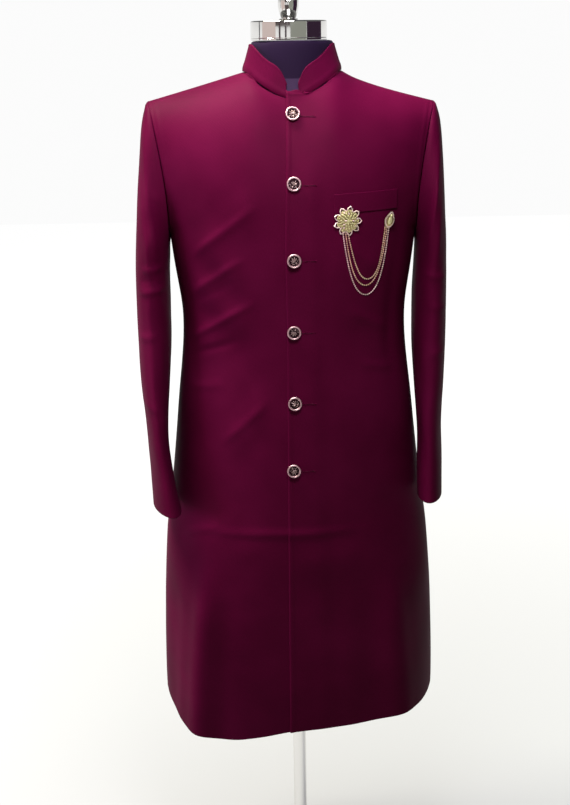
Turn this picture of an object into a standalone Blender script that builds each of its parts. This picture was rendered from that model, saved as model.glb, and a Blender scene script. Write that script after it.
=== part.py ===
"""A knee-length sherwani coat, buttoned up on a limbless dress form that stands on a round base.

Metres, +Z up. The coat faces -Y and the wearer's left is +X. The origin is the centre of the base's
underside, straight below the middle of the form's neck.
"""

import math

import bmesh
import bpy
import numpy as np
from mathutils import Matrix, Vector

COLLECTION = "sherwani_coat"

# Cloth
CLOTH = 0.002  # coat cloth with its canvas
COLLAR_CLOTH = 0.003
WELT_CLOTH = 0.0016
SEAM_GAP = 0.00032
PANEL_TRIM = 0.0012  # share of a panel's width and height left open at its seams
SKIRT_STEPS = 22  # rows from the hem to the underarm
ARMHOLE_STEPS = 9  # rows from the underarm to the shoulder, and half the sleeve's columns

# Heights of the coat
HEM_Z = 0.436
CHEST_Z = 1.285  # level of the underarm points
SHOULDER_TIP = (0.236, 1.505)  # x, z
SIDE_NECK = (0.085, 1.5515)  # x, z
RIGHT_NECK_IN = 0.0050  # how much closer the neckline is to the middle on the wearer's right
SHOULDER_LEAN = 0.003  # the wearer's left tip is lower and the right one higher by this
SHOULDER_DIP = {1: 0.0055, -1: 0.0005}  # how far each seam sags between neck and tip

# Neckline, as an oval round the neck
NECKLINE_HALF_DEPTH = 0.080
NECKLINE_Y = -0.005
NECKLINE_COLUMNS = ("turn", "height")  # degrees from the centre front
NECKLINE_HEIGHTS = (
    (0, 1.5110),
    (10, 1.5135),
    (20, 1.5190),
    (30, 1.5262),
    (40, 1.5335),
    (52, 1.5425),
    (66, 1.5500),
    (90, 1.5515),
    (130, 1.5520),
    (180, 1.5520),
)
LAP_RISE = 0.0105  # the overlapping left front stands above the collar's seam
LAP_RISE_FADE = (0.085, 0.125)  # shares of a half

# Level sections of the coat's outer surface
BODY_COLUMNS = ("height", "half_width", "front", "back", "square")
BODY_SECTIONS = (
    (0.400, 0.2500, 0.184, 0.166, 3.00),
    (0.520, 0.2475, 0.177, 0.162, 2.85),
    (0.640, 0.2425, 0.169, 0.157, 2.60),
    (0.757, 0.2350, 0.161, 0.151, 2.30),
    (0.850, 0.2215, 0.152, 0.143, 2.10),
    (0.990, 0.2055, 0.141, 0.126, 2.10),
    (1.146, 0.1905, 0.129, 0.113, 2.15),
    (1.245, 0.2015, 0.135, 0.122, 2.20),
    (1.338, 0.2120, 0.138, 0.131, 2.25),
    (1.415, 0.2210, 0.137, 0.137, 2.30),
    (1.507, 0.2360, 0.136, 0.137, 2.30),
    (1.560, 0.2400, 0.136, 0.137, 2.30),
)

# Height of the hem all round: turns in degrees from the centre front, + to the wearer's left
HEM_COLUMNS = ("turn", "height")
HEM_HEIGHTS = (
    (-180, 0.436),
    (-130, 0.434),
    (-90, 0.431),
    (-52, 0.4195),
    (-36, 0.4155),
    (-22, 0.4225),
    (-6, 0.433),
    (10, 0.439),
    (26, 0.444),
    (40, 0.449),
    (50, 0.453),
    (66, 0.447),
    (90, 0.442),
    (130, 0.438),
    (180, 0.436),
)

# How each half turns over into the neckline and the shoulder seam
FRONT = {"sign": -1, "depth": "front", "power": 2.3, "armhole_depth": 0.066}
BACK = {"sign": 1, "depth": "back", "power": 3.2, "armhole_depth": 0.070}
SHOULDER_POWER = 3.0
NECK_SHARE = 0.44  # share of a half's top edge that is neckline
HEM_CORNER = 0.545  # share of a half at which the skirt turns its front corner
NECK_EASE = 0.46
TOP_DRAW = 1.5

# The wearer's left front laps over the right one
LAP_EDGE = -0.068  # shares of a half panel; 35 to 45 mm of lap in all
UNDERLAP_EDGE = -0.090
LAP_LIFT = CLOTH + 0.0009
LAP_FADE = (0.115, 0.24)

# Ridges in the cloth, and troughs where the height is below zero, each from a turn and a level to
# another. Turns are in degrees from the centre front, + to the wearer's left
FOLD_COLUMNS = ("turn_from", "z_from", "turn_to", "z_to", "width", "height")
BODY_FOLDS = (
    (-58, 1.262, -27, 1.338, 0.017, 0.0040),
    (-62, 1.200, -33, 1.255, 0.015, 0.0046),
    (-66, 1.122, -30, 1.182, 0.017, 0.0050),
    (-44, 0.950, -20, 1.020, 0.016, 0.0026),
    (-60, 0.760, -38, 0.808, 0.018, 0.0030),
    (52, 1.238, 30, 1.290, 0.020, 0.0024),
    (60, 1.140, 36, 1.172, 0.018, 0.0026),
    (-46, 0.757, 34, 0.757, 0.014, 0.0028),
    (-49, 0.720, -49, 0.360, 0.020, 0.0140),
    (-70, 0.700, -70, 0.360, 0.042, -0.0130),
    (49, 0.700, 49, 0.360, 0.022, 0.0110),
    (69, 0.680, 69, 0.360, 0.042, -0.0080),
    (24, 0.640, 22, 0.400, 0.030, 0.0022),
    (-92, 0.700, -92, 0.400, 0.028, 0.0030),
    (92, 0.700, 92, 0.400, 0.028, 0.0030),
    (118, 0.760, 122, 0.400, 0.034, 0.0060),
    (148, 0.740, 150, 0.400, 0.032, 0.0048),
    (-120, 0.780, -124, 0.400, 0.034, 0.0060),
    (-152, 0.720, -150, 0.400, 0.032, 0.0050),
    (128, 1.130, 160, 1.165, 0.018, 0.0036),
    (-126, 1.160, -158, 1.196, 0.018, 0.0036),
    (134, 1.075, 170, 1.080, 0.018, 0.0030),
)

# Sleeve: the outer and the inner side of each slanting section, its half depth, its middle, how
# far it turns with the body, how far out the left and the right sleeve hang, and how much further out
# the left one's inner side is
SLEEVE_COLUMNS = ("row", "outer_x", "outer_z", "inner_x", "inner_z", "half_depth", "middle_y", "slant",
                  "left_out", "right_out", "left_inner")
SLEEVE_SECTIONS = (
    (0, 0.2365, 1.505, 0.2060, 1.285, 0.066, 0.000, 0.00, 0.000, 0.000, 0.0000),
    (1, 0.2440, 1.482, 0.2085, 1.270, 0.071, 0.000, 0.00, 0.000, 0.000, 0.0000),
    (2, 0.2500, 1.436, 0.2095, 1.252, 0.075, -0.001, 0.00, -0.001, 0.000, 0.0000),
    (3, 0.2575, 1.355, 0.2100, 1.222, 0.078, -0.003, 0.00, -0.003, 0.001, 0.0000),
    (4, 0.2638, 1.255, 0.2090, 1.175, 0.079, -0.006, 0.00, -0.0045, 0.002, 0.0000),
    (5, 0.2657, 1.160, 0.2090, 1.110, 0.077, -0.011, 0.02, -0.005, 0.003, 0.0000),
    (6, 0.2631, 1.060, 0.2129, 1.038, 0.073, -0.026, 0.06, -0.004, 0.004, -0.0025),
    (7, 0.2543, 0.965, 0.2167, 0.957, 0.067, -0.050, 0.14, -0.001, 0.005, -0.0050),
    (8, 0.2479, 0.890, 0.2101, 0.889, 0.061, -0.076, 0.20, 0.005, 0.004, -0.0060),
    (9, 0.2439, 0.833, 0.1990, 0.831, 0.057, -0.097, 0.24, 0.0075, 0.0035, 0.0020),
)
# The left sleeve hangs straighter than the right one
LEFT_SLEEVE = {"from_row": 5, "back": 0.009, "up": 0.0145, "slant": 0.40}
ARMHOLE_BLEND = 1.6  # rows over which the armhole's own outline fades into the sections
SLEEVE_FOLD_COLUMNS = ("turn_from", "row_from", "turn_to", "row_to", "width", "height")
SLEEVE_FOLDS = (
    (60, 1.6, 118, 3.0, 0.17, 0.0030),
    (70, 2.9, 122, 4.1, 0.17, 0.0034),
    (40, 4.6, 125, 4.9, 0.16, 0.0030),
    (55, 5.9, 130, 5.6, 0.18, 0.0034),
    (60, 7.1, 128, 6.7, 0.18, 0.0028),
    (-55, 4.4, -130, 4.9, 0.18, 0.0034),
    (-60, 5.7, -128, 5.5, 0.18, 0.0032),
    (-70, 2.4, -118, 3.4, 0.18, 0.0030),
)

# Collar
COLLAR_HEIGHT = 0.0425
COLLAR_ENDS = (8.5, 6.5)  # degrees from the centre front to its left and right ends
COLLAR_CORNER = 0.019  # length of the rounded front corner
COLLAR_END_SHARE = 0.36  # height of its straight front end
COLLAR_LEAN = 0.0130  # how far the top leans in at the sides
COLLAR_LEAN_FRONT = 0.006

# Welt pocket on the wearer's left chest
WELT_LOW_INNER = (0.064, 1.336)  # x, z
WELT_WIDTH = 0.102
WELT_HEIGHT = 0.031
WELT_RISE = 0.003

# Six shank buttons down the centre front, each tilted a little, in degrees
BUTTON_COLUMNS = ("x", "height", "sideways", "down")
BUTTONS = (
    (0.0012, 1.486, 7, 4),
    (0.0008, 1.383, 3, -2),
    (-0.0008, 1.2645, 4, 1),
    (-0.0022, 1.1455, 3, -1),
    (-0.0028, 1.0265, 6, 3),
    (-0.0056, 0.9125, 0, 0),
)
BUTTON_RADIUS = 0.0115
SHANK_RADIUS = 0.0030

# Brooch pinned below the pocket: a flower, a drop and three chains between them
FLOWER = {"at": (0.0845, 1.3245), "tips": 0.0240, "notches": 0.0165, "petals": 9, "turn": -9.0}
ROSETTE_RADIUS = 0.0115
DROP = {"at": (0.1530, 1.3220), "width": 0.0190, "length": 0.0275, "turn": -17.0}
BROOCH_PLATE = 0.0016
CHAIN_DIAMETER = 0.0018
CHAIN_LIFT = 2 * SEAM_GAP
BROOCH_LIFT = CHAIN_LIFT + CHAIN_DIAMETER + SEAM_GAP  # the chains end under the flower and the drop
CHAIN_COLUMNS = ("from_x", "from_z", "to_x", "to_z", "low_z", "drift", "points")
CHAINS = (  # drift is how far the cloth holds the chain's middle to the wearer's left
    (0.0776, 1.3065, 0.1537, 1.3110, 1.2015, 0.0012, 40),
    (0.0815, 1.3095, 0.1505, 1.3115, 1.2175, 0.0000, 37),
    (0.0855, 1.3070, 0.1475, 1.3130, 1.2275, 0.0032, 33),
)

# Dress form and stand
FORM_FOOT_Z = 0.750
FORM_INSET_COLUMNS = ("height", "inset")
FORM_INSETS = (
    (0.700, 0.0180),
    (0.800, 0.0220),
    (1.000, 0.0170),
    (1.146, 0.0110),
    (1.285, 0.0085),
    (1.400, 0.0060),
    (1.490, CLOTH + 0.0020),
    (1.600, CLOTH + 0.0020),
)
NECK_HALF_WIDTH = 0.0642
NECK_HALF_DEPTH = 0.066
NECK_X = 0.0032  # the neck leans a little to the wearer's left
NECK_Y = -0.004
NECK_ROUND = 0.004
NECK_RISE = 0.022
NECK_STEP = 0.45  # share of the way in that the neck starts level, clear of the collar
NECK_TOP_Z = 1.5992
CAP_X = -0.0018
CAP_RADIUS = 0.0620
CAP_HEIGHT = 0.030
POLE_RADIUS = 0.0125
BASE_RADIUS = 0.190
BASE_HEIGHT = 0.014

WINE = (0.110, 0.006, 0.030)
INK = (0.022, 0.010, 0.040)
CHROME = (0.72, 0.71, 0.70)
SILVER = (0.78, 0.70, 0.66)
GOLD = (0.80, 0.62, 0.34)
IRON = (0.05, 0.05, 0.055)


# ---- Tables and curves ------------------------------------------------------------------------


def column(rows, columns, name):
    return np.array([row[columns.index(name)] for row in rows], float)


def slopes_without_overshoot(xs, ys):
    """Tangents of a cubic that stays between its points."""
    steps = np.diff(ys) / np.diff(xs)
    slopes = np.empty(len(xs))
    slopes[0], slopes[-1] = steps[0], steps[-1]
    for i in range(1, len(xs) - 1):
        before, after = steps[i - 1], steps[i]
        slopes[i] = 0.0 if before * after <= 0 else 2 * before * after / (before + after)
    return slopes


def eased(xs, ys, at):
    """A smooth curve through a table's points, read at the values in at."""
    slopes = slopes_without_overshoot(xs, ys)
    at = np.clip(np.asarray(at, float), xs[0], xs[-1])
    i = np.clip(np.searchsorted(xs, at, side="right") - 1, 0, len(xs) - 2)
    span = xs[i + 1] - xs[i]
    t = (at - xs[i]) / span
    start = ys[i] * (1 + 2 * t) * (1 - t) ** 2 + slopes[i] * span * t * (1 - t) ** 2
    end = ys[i + 1] * t**2 * (3 - 2 * t) - slopes[i + 1] * span * t**2 * (1 - t)
    return start + end


def body_value(name, z):
    heights = column(BODY_SECTIONS, BODY_COLUMNS, "height")
    return eased(heights, column(BODY_SECTIONS, BODY_COLUMNS, name), z)


def smooth_step(low, high, value):
    t = np.clip((np.asarray(value, float) - low) / (high - low), 0, 1)
    return t * t * (3 - 2 * t)


def mix(a, b, share):
    return a + (b - a) * share


def ridge(along_from, up_from, along_to, up_to, width, height, along, up):
    """Height of a soft ridge between two places, fading at its ends."""
    run, rise = along_to - along_from, up_to - up_from
    length = math.hypot(run, rise)
    share = ((along - along_from) * run + (up - up_from) * rise) / length**2
    off = ((along - along_from) * rise - (up - up_from) * run) / length
    ends = smooth_step(-0.15, 0.25, share) * smooth_step(1.15, 0.75, share)
    return height * ends * np.exp(-((off / width) ** 2))


# ---- The coat's surface -----------------------------------------------------------------------


def side_neck_x(mirror):
    return SIDE_NECK[0] - np.where(mirror < 0, RIGHT_NECK_IN, 0)


def neckline(turn):
    """Point of the neckline, turn in radians from the centre front, + to the wearer's left."""
    x = side_neck_x(np.sign(np.sin(turn))) * np.sin(turn)
    y = NECKLINE_Y - NECKLINE_HALF_DEPTH * np.cos(turn)
    turns = column(NECKLINE_HEIGHTS, NECKLINE_COLUMNS, "turn")
    from_front = np.degrees(np.arccos(np.cos(turn)))
    z = eased(turns, column(NECKLINE_HEIGHTS, NECKLINE_COLUMNS, "height"), from_front)
    return x, y, z


def neck_turn(side, u):
    """Turn of the neckline at a value of u."""
    share = np.clip(u / NECK_SHARE, -1, 1)
    quarter = (NECK_EASE * share + (1 - NECK_EASE) * share**3) * math.pi / 2
    return quarter if side is FRONT else math.pi - quarter


def top_edge(side, u, mirror):
    """Neckline and then shoulder seam of a half, from the centre (0) to the shoulder tip (1)."""
    x, y, z = neckline(mirror * neck_turn(side, u))
    along = np.clip((u - NECK_SHARE) / (1 - NECK_SHARE), 0, None)
    x = mirror * x + along * (SHOULDER_TIP[0] - side_neck_x(mirror))
    z = z + along * (SHOULDER_TIP[1] - SIDE_NECK[1] - mirror * SHOULDER_LEAN)
    z = z - SHOULDER_DIP[mirror] * np.sin(math.pi * np.clip(along, 0, 1) ** 0.6)
    y = np.where(along > 0, NECKLINE_Y * (1 - along), y)
    return x, y, z


def oval(turn, half_width, depth, square):
    """A level section: turn 0 points to the centre, a quarter turn to the side."""
    reach = (np.abs(np.sin(turn)) / half_width) ** square
    reach = reach + (np.abs(np.cos(turn)) / depth) ** square
    radius = reach ** (-1 / square)
    return radius * np.sin(turn), radius * np.cos(turn)


def half_surface(side, u, v, mirror):
    """Outer surface of a half panel before its folds. u runs from the centre line (0) to the side
    seam and armhole (1), v from the hem (0) through the underarm (1) to the top edge (2)."""
    u, v = np.broadcast_arrays(np.asarray(u, float), np.asarray(v, float))
    low = np.clip(v, None, 1)
    high = np.clip(v - 1, 0, None)
    # Below the underarm
    hem_turn = mirror * (90 * u if side is FRONT else 180 - 90 * u)
    turns = column(HEM_HEIGHTS, HEM_COLUMNS, "turn")
    hem_z = eased(turns, column(HEM_HEIGHTS, HEM_COLUMNS, "height"), hem_turn)
    # Above it: every column climbs to its place on the top edge
    top_x, top_y, top_z = top_edge(side, u, mirror)
    climb_centre = 1 - (1 - high) * np.abs(1 - high)
    climb_edge = (1 - np.cos(math.pi * high)) / 2
    climb = mix(climb_centre, climb_edge, np.abs(u) ** 3)
    z = np.where(v <= 1, hem_z + (CHEST_Z - hem_z) * low, CHEST_Z + (top_z - CHEST_Z) * climb)
    half_width = body_value("half_width", z)
    depth = body_value(side["depth"], z)
    square = body_value("square", z)

    def left_over(power, roundness, share):
        return np.clip(1 - np.clip(share, 0, 1) ** power, 1e-9, None) ** (1 / roundness)

    edge_left = left_over(SHOULDER_POWER, 2.0, climb_edge)
    edge_depth = side["armhole_depth"] * np.abs(np.sin(math.pi * high)) / edge_left
    edge_depth = np.where(edge_left < 1e-3, 0.075, edge_depth)
    edge_x = half_width * (1 - np.clip(edge_depth / depth, 0, 0.999) ** square) ** (1 / square)
    edge_turn = np.where(high > 0, np.arctan2(edge_x, edge_depth), math.pi / 2)
    x, reach = oval(u * edge_turn, half_width, depth, square)
    round_share = smooth_step(0, 1, np.abs(u) / NECK_SHARE)
    left = left_over(mix(side["power"], SHOULDER_POWER, round_share), 1 + round_share, climb)
    top_reach = side["sign"] * top_y
    reach = np.where(high > 0, top_reach + (reach - top_reach) * left, reach)
    x = mix(x, top_x, np.clip(high, 0, 1) ** TOP_DRAW)
    return np.stack([mirror * x, side["sign"] * reach, z], axis=-1)


def unit(vectors):
    return vectors / np.linalg.norm(vectors, axis=-1, keepdims=True)


def normals_of(surface, a, b, step=1e-4):
    """Outward normals, by small steps over a surface given as a function of two values."""
    across = surface(a + step, b) - surface(a - step, b)
    along = surface(a, b + step) - surface(a, b - step)
    return unit(np.cross(across, along))


def body_fold(points):
    """Height of the folds at points of the coat's body."""
    turn = np.degrees(np.arctan2(points[..., 0], -points[..., 1]))
    girth = np.radians(turn) * 0.19
    total = np.zeros(turn.shape)
    for row in BODY_FOLDS:
        fold = dict(zip(FOLD_COLUMNS, row))
        start, end = (math.radians(fold[name]) * 0.19 for name in ("turn_from", "turn_to"))
        total += ridge(start, fold["z_from"], end, fold["z_to"], fold["width"], fold["height"],
                       girth, points[..., 2])
    return total


def body_wall(side, u, v, mirror, lift=0.0):
    """Outer and inner points of the coat's body at a grid of u and v."""
    points = half_surface(side, u, v, mirror)
    # The steps stay on one side of the underarm level, and below the bend into the neckline
    top = 2 - mix(0.06, 2e-4, smooth_step(0.85, 1, np.abs(u) / NECK_SHARE))
    safe_v = np.where(np.abs(v - 1) < 2e-4, v - 2e-4, np.minimum(v, top))
    normals = normals_of(lambda a, b: half_surface(side, a, b, mirror), u, safe_v)
    normals *= mirror if side is FRONT else -mirror
    outer = points + normals * (body_fold(points) + lift)[..., None]
    if side is FRONT and mirror > 0:
        rise = LAP_RISE * (1 - smooth_step(*LAP_RISE_FADE, u)) * smooth_step(1.8, 2, v)
        outer = outer + rise[..., None] * np.array([0.0, 0.12, 1.0])
    return outer, outer - normals * CLOTH


def lap_lift(u):
    return LAP_LIFT * (1 - smooth_step(LAP_FADE[0], LAP_FADE[1], u))


def left_front_at(x, z):
    """Point and normal of the wearer's left front at a place seen from the front."""
    u, v = 0.4, 1.3 if z > CHEST_Z else (z - HEM_Z) / (CHEST_Z - HEM_Z)
    step = 1e-4
    for _ in range(30):
        here = half_surface(FRONT, u, v, 1)
        along_u = (half_surface(FRONT, u + step, v, 1) - here) / step
        along_v = (half_surface(FRONT, u, v + step, 1) - here) / step
        matrix = np.array([[along_u[0], along_v[0]], [along_u[2], along_v[2]]])
        off = np.linalg.solve(matrix, np.array([x - here[0], z - here[2]]))
        u, v = u + np.clip(off[0], -0.2, 0.2), v + np.clip(off[1], -0.2, 0.2)
    outer, inner = body_wall(FRONT, np.array([u]), np.array([v]), 1, lap_lift(np.array([u])))
    return Vector(outer[0]), Vector(unit(outer - inner)[0])


# ---- Meshes ------------------------------------------------------------------------------------


def material(name, colour, roughness, metallic=0.0):
    made = bpy.data.materials.get(name) or bpy.data.materials.new(name)
    made.use_nodes = True
    shader = made.node_tree.nodes["Principled BSDF"]
    shader.inputs["Base Color"].default_value = (*colour, 1)
    shader.inputs["Roughness"].default_value = roughness
    shader.inputs["Metallic"].default_value = metallic
    made.diffuse_color = (*colour, 1)
    return made


def place(name, data, finish):
    made = bpy.data.objects.new(name, data)
    data.materials.clear()
    data.materials.append(finish)
    bpy.data.collections[COLLECTION].objects.link(made)
    return made


def mesh_object(name, build, finish, sharp=40):
    """A mesh object from a function that fills a bmesh."""
    mesh = bpy.data.meshes.new(name)
    shape = bmesh.new()
    build(shape)
    bmesh.ops.remove_doubles(shape, verts=shape.verts, dist=1e-6)
    bmesh.ops.dissolve_degenerate(shape, edges=shape.edges, dist=1e-6)
    bmesh.ops.recalc_face_normals(shape, faces=shape.faces)
    if shape.calc_volume(signed=True) < 0:
        bmesh.ops.reverse_faces(shape, faces=shape.faces)
    shape.to_mesh(mesh)
    shape.free()
    mesh.shade_smooth()
    mesh.set_sharp_from_angle(angle=math.radians(sharp))
    return place(name, mesh, finish)


def grid_faces(shape, grid, closed=False):
    """Faces between the rows of a grid of vertices."""
    rows, count = len(grid), len(grid[0])
    for j in range(rows - 1):
        for i in range(count if closed else count - 1):
            k = (i + 1) % count
            shape.faces.new((grid[j][i], grid[j][k], grid[j + 1][k], grid[j + 1][i]))


def cloth_wall(name, outer, inner, finish, closed=False):
    """A wall of cloth between two grids of points, a sheet or, if closed, an open tube."""

    def build(shape):
        out = [[shape.verts.new(p) for p in row] for row in outer]
        back = [[shape.verts.new(p) for p in row] for row in inner]
        grid_faces(shape, out, closed)
        grid_faces(shape, back, closed)
        rims = [(out[0], back[0]), (out[-1], back[-1])]
        if not closed:
            for i in (0, -1):
                rims.append(([row[i] for row in out], [row[i] for row in back]))
        for rim in rims:
            grid_faces(shape, rim, closed)

    return mesh_object(name, build, finish)


def profile_mesh(name, profile):
    """An open profile of (radius, z), top to bottom, both ends on the axis."""
    mesh = bpy.data.meshes.new(name)
    points = [(radius, 0.0, z) for radius, z in profile]
    mesh.from_pydata(points, [(i, i + 1) for i in range(len(points) - 1)], [])
    return mesh


def turned(name, mesh, steps, finish):
    """A solid turned from a profile."""
    made = place(name, mesh, finish)
    screw = made.modifiers.new("Turn", "SCREW")
    screw.steps = screw.render_steps = steps
    screw.use_merge_vertices = True
    screw.merge_threshold = 1e-5
    screw.use_smooth_shade = True
    return made


# ---- Panels ------------------------------------------------------------------------------------


def panel_columns(edge=0.0):
    """Values of u over a half panel, with one at the neckline's end and one at the hem's corner."""
    neck = np.linspace(0, NECK_SHARE, 7)[1:]
    corner = np.linspace(NECK_SHARE, HEM_CORNER, 3)[1:]
    side = np.linspace(HEM_CORNER, 1 - PANEL_TRIM, 7)[1:]
    return np.concatenate([[edge, edge / 3] if edge else [], neck, corner, side])


def panel_rows():
    """Values of v from the hem to the top edge."""
    low = np.linspace(0, 1, SKIRT_STEPS + 1)[:-1]
    high = 1 + np.linspace(0, 1, ARMHOLE_STEPS + 1)
    values = np.concatenate([low, high])
    values[-1] -= PANEL_TRIM
    return values


def front_panel(name, mirror, edge, lift, finish):
    u, v = np.meshgrid(panel_columns(edge), panel_rows())
    outer, inner = body_wall(FRONT, u, v, mirror, lift(u))
    return cloth_wall(name, outer, inner, finish)


def back_panel(finish):
    half = panel_columns()
    grids = []
    for mirror, shares in ((-1, half[::-1]), (1, np.concatenate([[0.0], half]))):
        u, v = np.meshgrid(shares, panel_rows())
        grids.append(body_wall(BACK, u, v, mirror))
    outer, inner = (np.concatenate([right, left], axis=1) for right, left in zip(*grids))
    return cloth_wall("back", outer, inner, finish)


def armhole(turn, mirror):
    """Outline of the armhole: turn 0 is the shoulder tip, a quarter turn the front."""
    turn = np.mod(turn, 2 * math.pi)
    front = half_surface(FRONT, np.ones_like(turn), 2 - np.clip(turn / math.pi, 0, 1), mirror)
    back = half_surface(BACK, np.ones_like(turn), np.clip(turn / math.pi, 1, 2), mirror)
    return np.where((turn <= math.pi)[..., None], front, back)


def sleeve_surface(turn, row, mirror):
    rows = column(SLEEVE_SECTIONS, SLEEVE_COLUMNS, "row")
    at = {name: eased(rows, column(SLEEVE_SECTIONS, SLEEVE_COLUMNS, name), row)
          for name in SLEEVE_COLUMNS[1:]}
    swing = np.cos(turn)
    straight = smooth_step(LEFT_SLEEVE["from_row"], 9, row) if mirror > 0 else 0 * row
    inner_x = at["inner_x"] + (at["left_inner"] if mirror > 0 else 0)
    x = mirror * ((at["outer_x"] + inner_x) / 2 + (at["outer_x"] - inner_x) / 2 * swing)
    z = (at["outer_z"] + at["inner_z"]) / 2 + (at["outer_z"] - at["inner_z"]) / 2 * swing
    depth = -at["half_depth"] * np.sin(turn)
    y = at["middle_y"] + straight * LEFT_SLEEVE["back"] + depth
    slant = at["slant"] * mix(1, LEFT_SLEEVE["slant"], straight)
    x = x + mirror * (slant * depth + at["left_out" if mirror > 0 else "right_out"])
    z = z - mirror * SHOULDER_LEAN * np.clip(1 - row / 4, 0, 1) + straight * LEFT_SLEEVE["up"]
    section = np.stack([x, y, z], axis=-1)
    edge = armhole(turn, mirror)
    middle = np.stack([edge[..., 0], 0 * turn, 0 * turn + (CHEST_Z + SHOULDER_TIP[1]) / 2], axis=-1)
    edge = edge + unit(middle - edge) * 4 * SEAM_GAP
    near = (np.clip(1 - row / ARMHOLE_BLEND, 0, 1) ** 2)[..., None]
    return mix(section, edge, near)


def sleeve_fold(turn, row):
    turn = (turn + math.pi) % (2 * math.pi) - math.pi
    total = np.zeros(np.broadcast(turn, row).shape)
    for values in SLEEVE_FOLDS:
        fold = dict(zip(SLEEVE_FOLD_COLUMNS, values))
        start, end = math.radians(fold["turn_from"]), math.radians(fold["turn_to"])
        total += ridge(start, fold["row_from"], end, fold["row_to"], fold["width"], fold["height"],
                       turn, row)
    return total


def sleeve(name, mirror, finish):
    turns = np.linspace(0, 2 * math.pi, 2 * ARMHOLE_STEPS + 1)[:-1]
    rows = np.concatenate([[0, 0.25, 0.6], np.linspace(1, 9, 15)])
    turn, row = np.meshgrid(turns, rows)
    points = sleeve_surface(turn, row, mirror)
    safe_row = np.clip(row, 2e-4, 9 - 2e-4)
    normals = normals_of(lambda a, b: sleeve_surface(a, b, mirror), turn, safe_row)
    normals *= mirror
    outer = points + normals * sleeve_fold(turn, row)[..., None]
    return cloth_wall(name, outer, outer - normals * CLOTH, finish, closed=True)


# ---- Collar, welt, buttons, brooch -------------------------------------------------------------


def collar(finish):
    left_end, right_end = (math.radians(end) for end in COLLAR_ENDS)
    shares = panel_columns()
    shares = shares[shares <= NECK_SHARE + 1e-9]
    front, back = neck_turn(FRONT, shares), neck_turn(BACK, np.concatenate([[0.0], shares[:-1]]))
    halves = []
    for end in (left_end, right_end):
        corner = end + np.array([0.0, 0.02, 0.06, 0.12, 0.19])
        halves.append(np.concatenate([corner, front[front > corner[-1] + 0.02], back[::-1]]))
    turns = np.concatenate([halves[0], (2 * math.pi - halves[1])[::-1][1:]])
    rows = np.linspace(0, 1, 4)
    turn, row = np.meshgrid(turns, rows)
    x, y, z = neckline(turn)
    low = np.stack([x, y, z + 2.5 * SEAM_GAP], axis=-1)
    away = unit(np.stack([np.sin(turn), -np.cos(turn), 0 * turn], axis=-1))
    # The band's length from its front end sets the rounded corner
    from_end = np.minimum(turn - left_end, 2 * math.pi - right_end - turn) * NECKLINE_HALF_DEPTH
    short = np.clip(1 - from_end / COLLAR_CORNER, 0, 1)
    height = COLLAR_HEIGHT * mix(COLLAR_END_SHARE, 1, np.sqrt(1 - short**2))
    lean = mix(COLLAR_LEAN_FRONT, COLLAR_LEAN, np.sin(turn) ** 2)
    rise = (height * row)[..., None] * np.array([0.0, 0.0, 1.0])
    outer = low - away * (lean * row * height / COLLAR_HEIGHT + 2.5 * SEAM_GAP)[..., None] + rise
    return cloth_wall("collar", outer, outer - away * COLLAR_CLOTH, finish)


def welt(finish):
    """The pocket's welt lies on the left front, made from that panel's own points."""
    shares = np.linspace(0, 1, 7)
    grid = []
    for up in (0, 0.5, 1):
        row = []
        for share in shares:
            x = WELT_LOW_INNER[0] + WELT_WIDTH * share
            z = WELT_LOW_INNER[1] + WELT_HEIGHT * up + WELT_RISE * share
            row.append(left_front_at(x, z))
        grid.append(row)
    inner = [[p + n * 2.2 * SEAM_GAP for p, n in row] for row in grid]
    outer = [[p + n * (2.2 * SEAM_GAP + WELT_CLOTH) for p, n in row] for row in grid]
    return cloth_wall("pocket_welt", outer, inner, finish)


def facing(point, normal, sideways=0.0, down=0.0):
    """A frame whose local Z is the normal and whose local Y points up the coat."""
    tilt = Matrix.Rotation(math.radians(sideways), 4, "Z") @ Matrix.Rotation(math.radians(down), 4, "X")
    z_axis = (tilt @ normal).normalized()
    x_axis = Vector((0, 0, 1)).cross(z_axis).normalized()
    y_axis = z_axis.cross(x_axis)
    turn = Matrix((x_axis, y_axis, z_axis)).transposed().to_4x4()
    return Matrix.Translation(point) @ turn


def buttons(finish):
    profile = ((0.0, 0.0058), (0.0080, 0.0054), (0.0088, 0.0062), (0.0103, 0.0066),
               (BUTTON_RADIUS, 0.0050), (0.0098, 0.0032), (SHANK_RADIUS, 0.0026),
               (SHANK_RADIUS, 0.0), (0.0, 0.0))
    mesh = profile_mesh("button", profile)
    for number, row in enumerate(BUTTONS, 1):
        values = dict(zip(BUTTON_COLUMNS, row))
        point, normal = left_front_at(values["x"], values["height"])
        made = turned(f"button_{number}", mesh, 18, finish)
        slope = math.radians(abs(values["sideways"]) + abs(values["down"]))
        seat = point + normal * (2.2 * SEAM_GAP + SHANK_RADIUS * math.sin(slope))
        made.matrix_world = facing(seat, normal, values["sideways"], -values["down"])


def flat_plate(name, outline, thickness, finish):
    """A flat plate from an outline in its own XY plane, its back at z = 0."""
    curve = bpy.data.curves.new(name, "CURVE")
    curve.dimensions = "2D"
    curve.fill_mode = "BOTH"
    curve.extrude = thickness / 2
    spline = curve.splines.new("POLY")
    spline.points.add(len(outline) - 1)
    for point, (x, y) in zip(spline.points, outline):
        point.co = (x, y, 0, 1)
    spline.use_cyclic_u = True
    return place(name, curve, finish)


def flower_outline():
    petals, tips, notches = FLOWER["petals"], FLOWER["tips"], FLOWER["notches"]
    outline = []
    for i in range(petals):
        for share, radius in ((0, notches), (0.24, mix(notches, tips, 0.50)), (0.5, tips),
                              (0.76, mix(notches, tips, 0.50))):
            angle = 2 * math.pi * (i + share) / petals + math.radians(FLOWER["turn"])
            outline.append((radius * math.sin(angle), radius * math.cos(angle)))
    return outline


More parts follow.
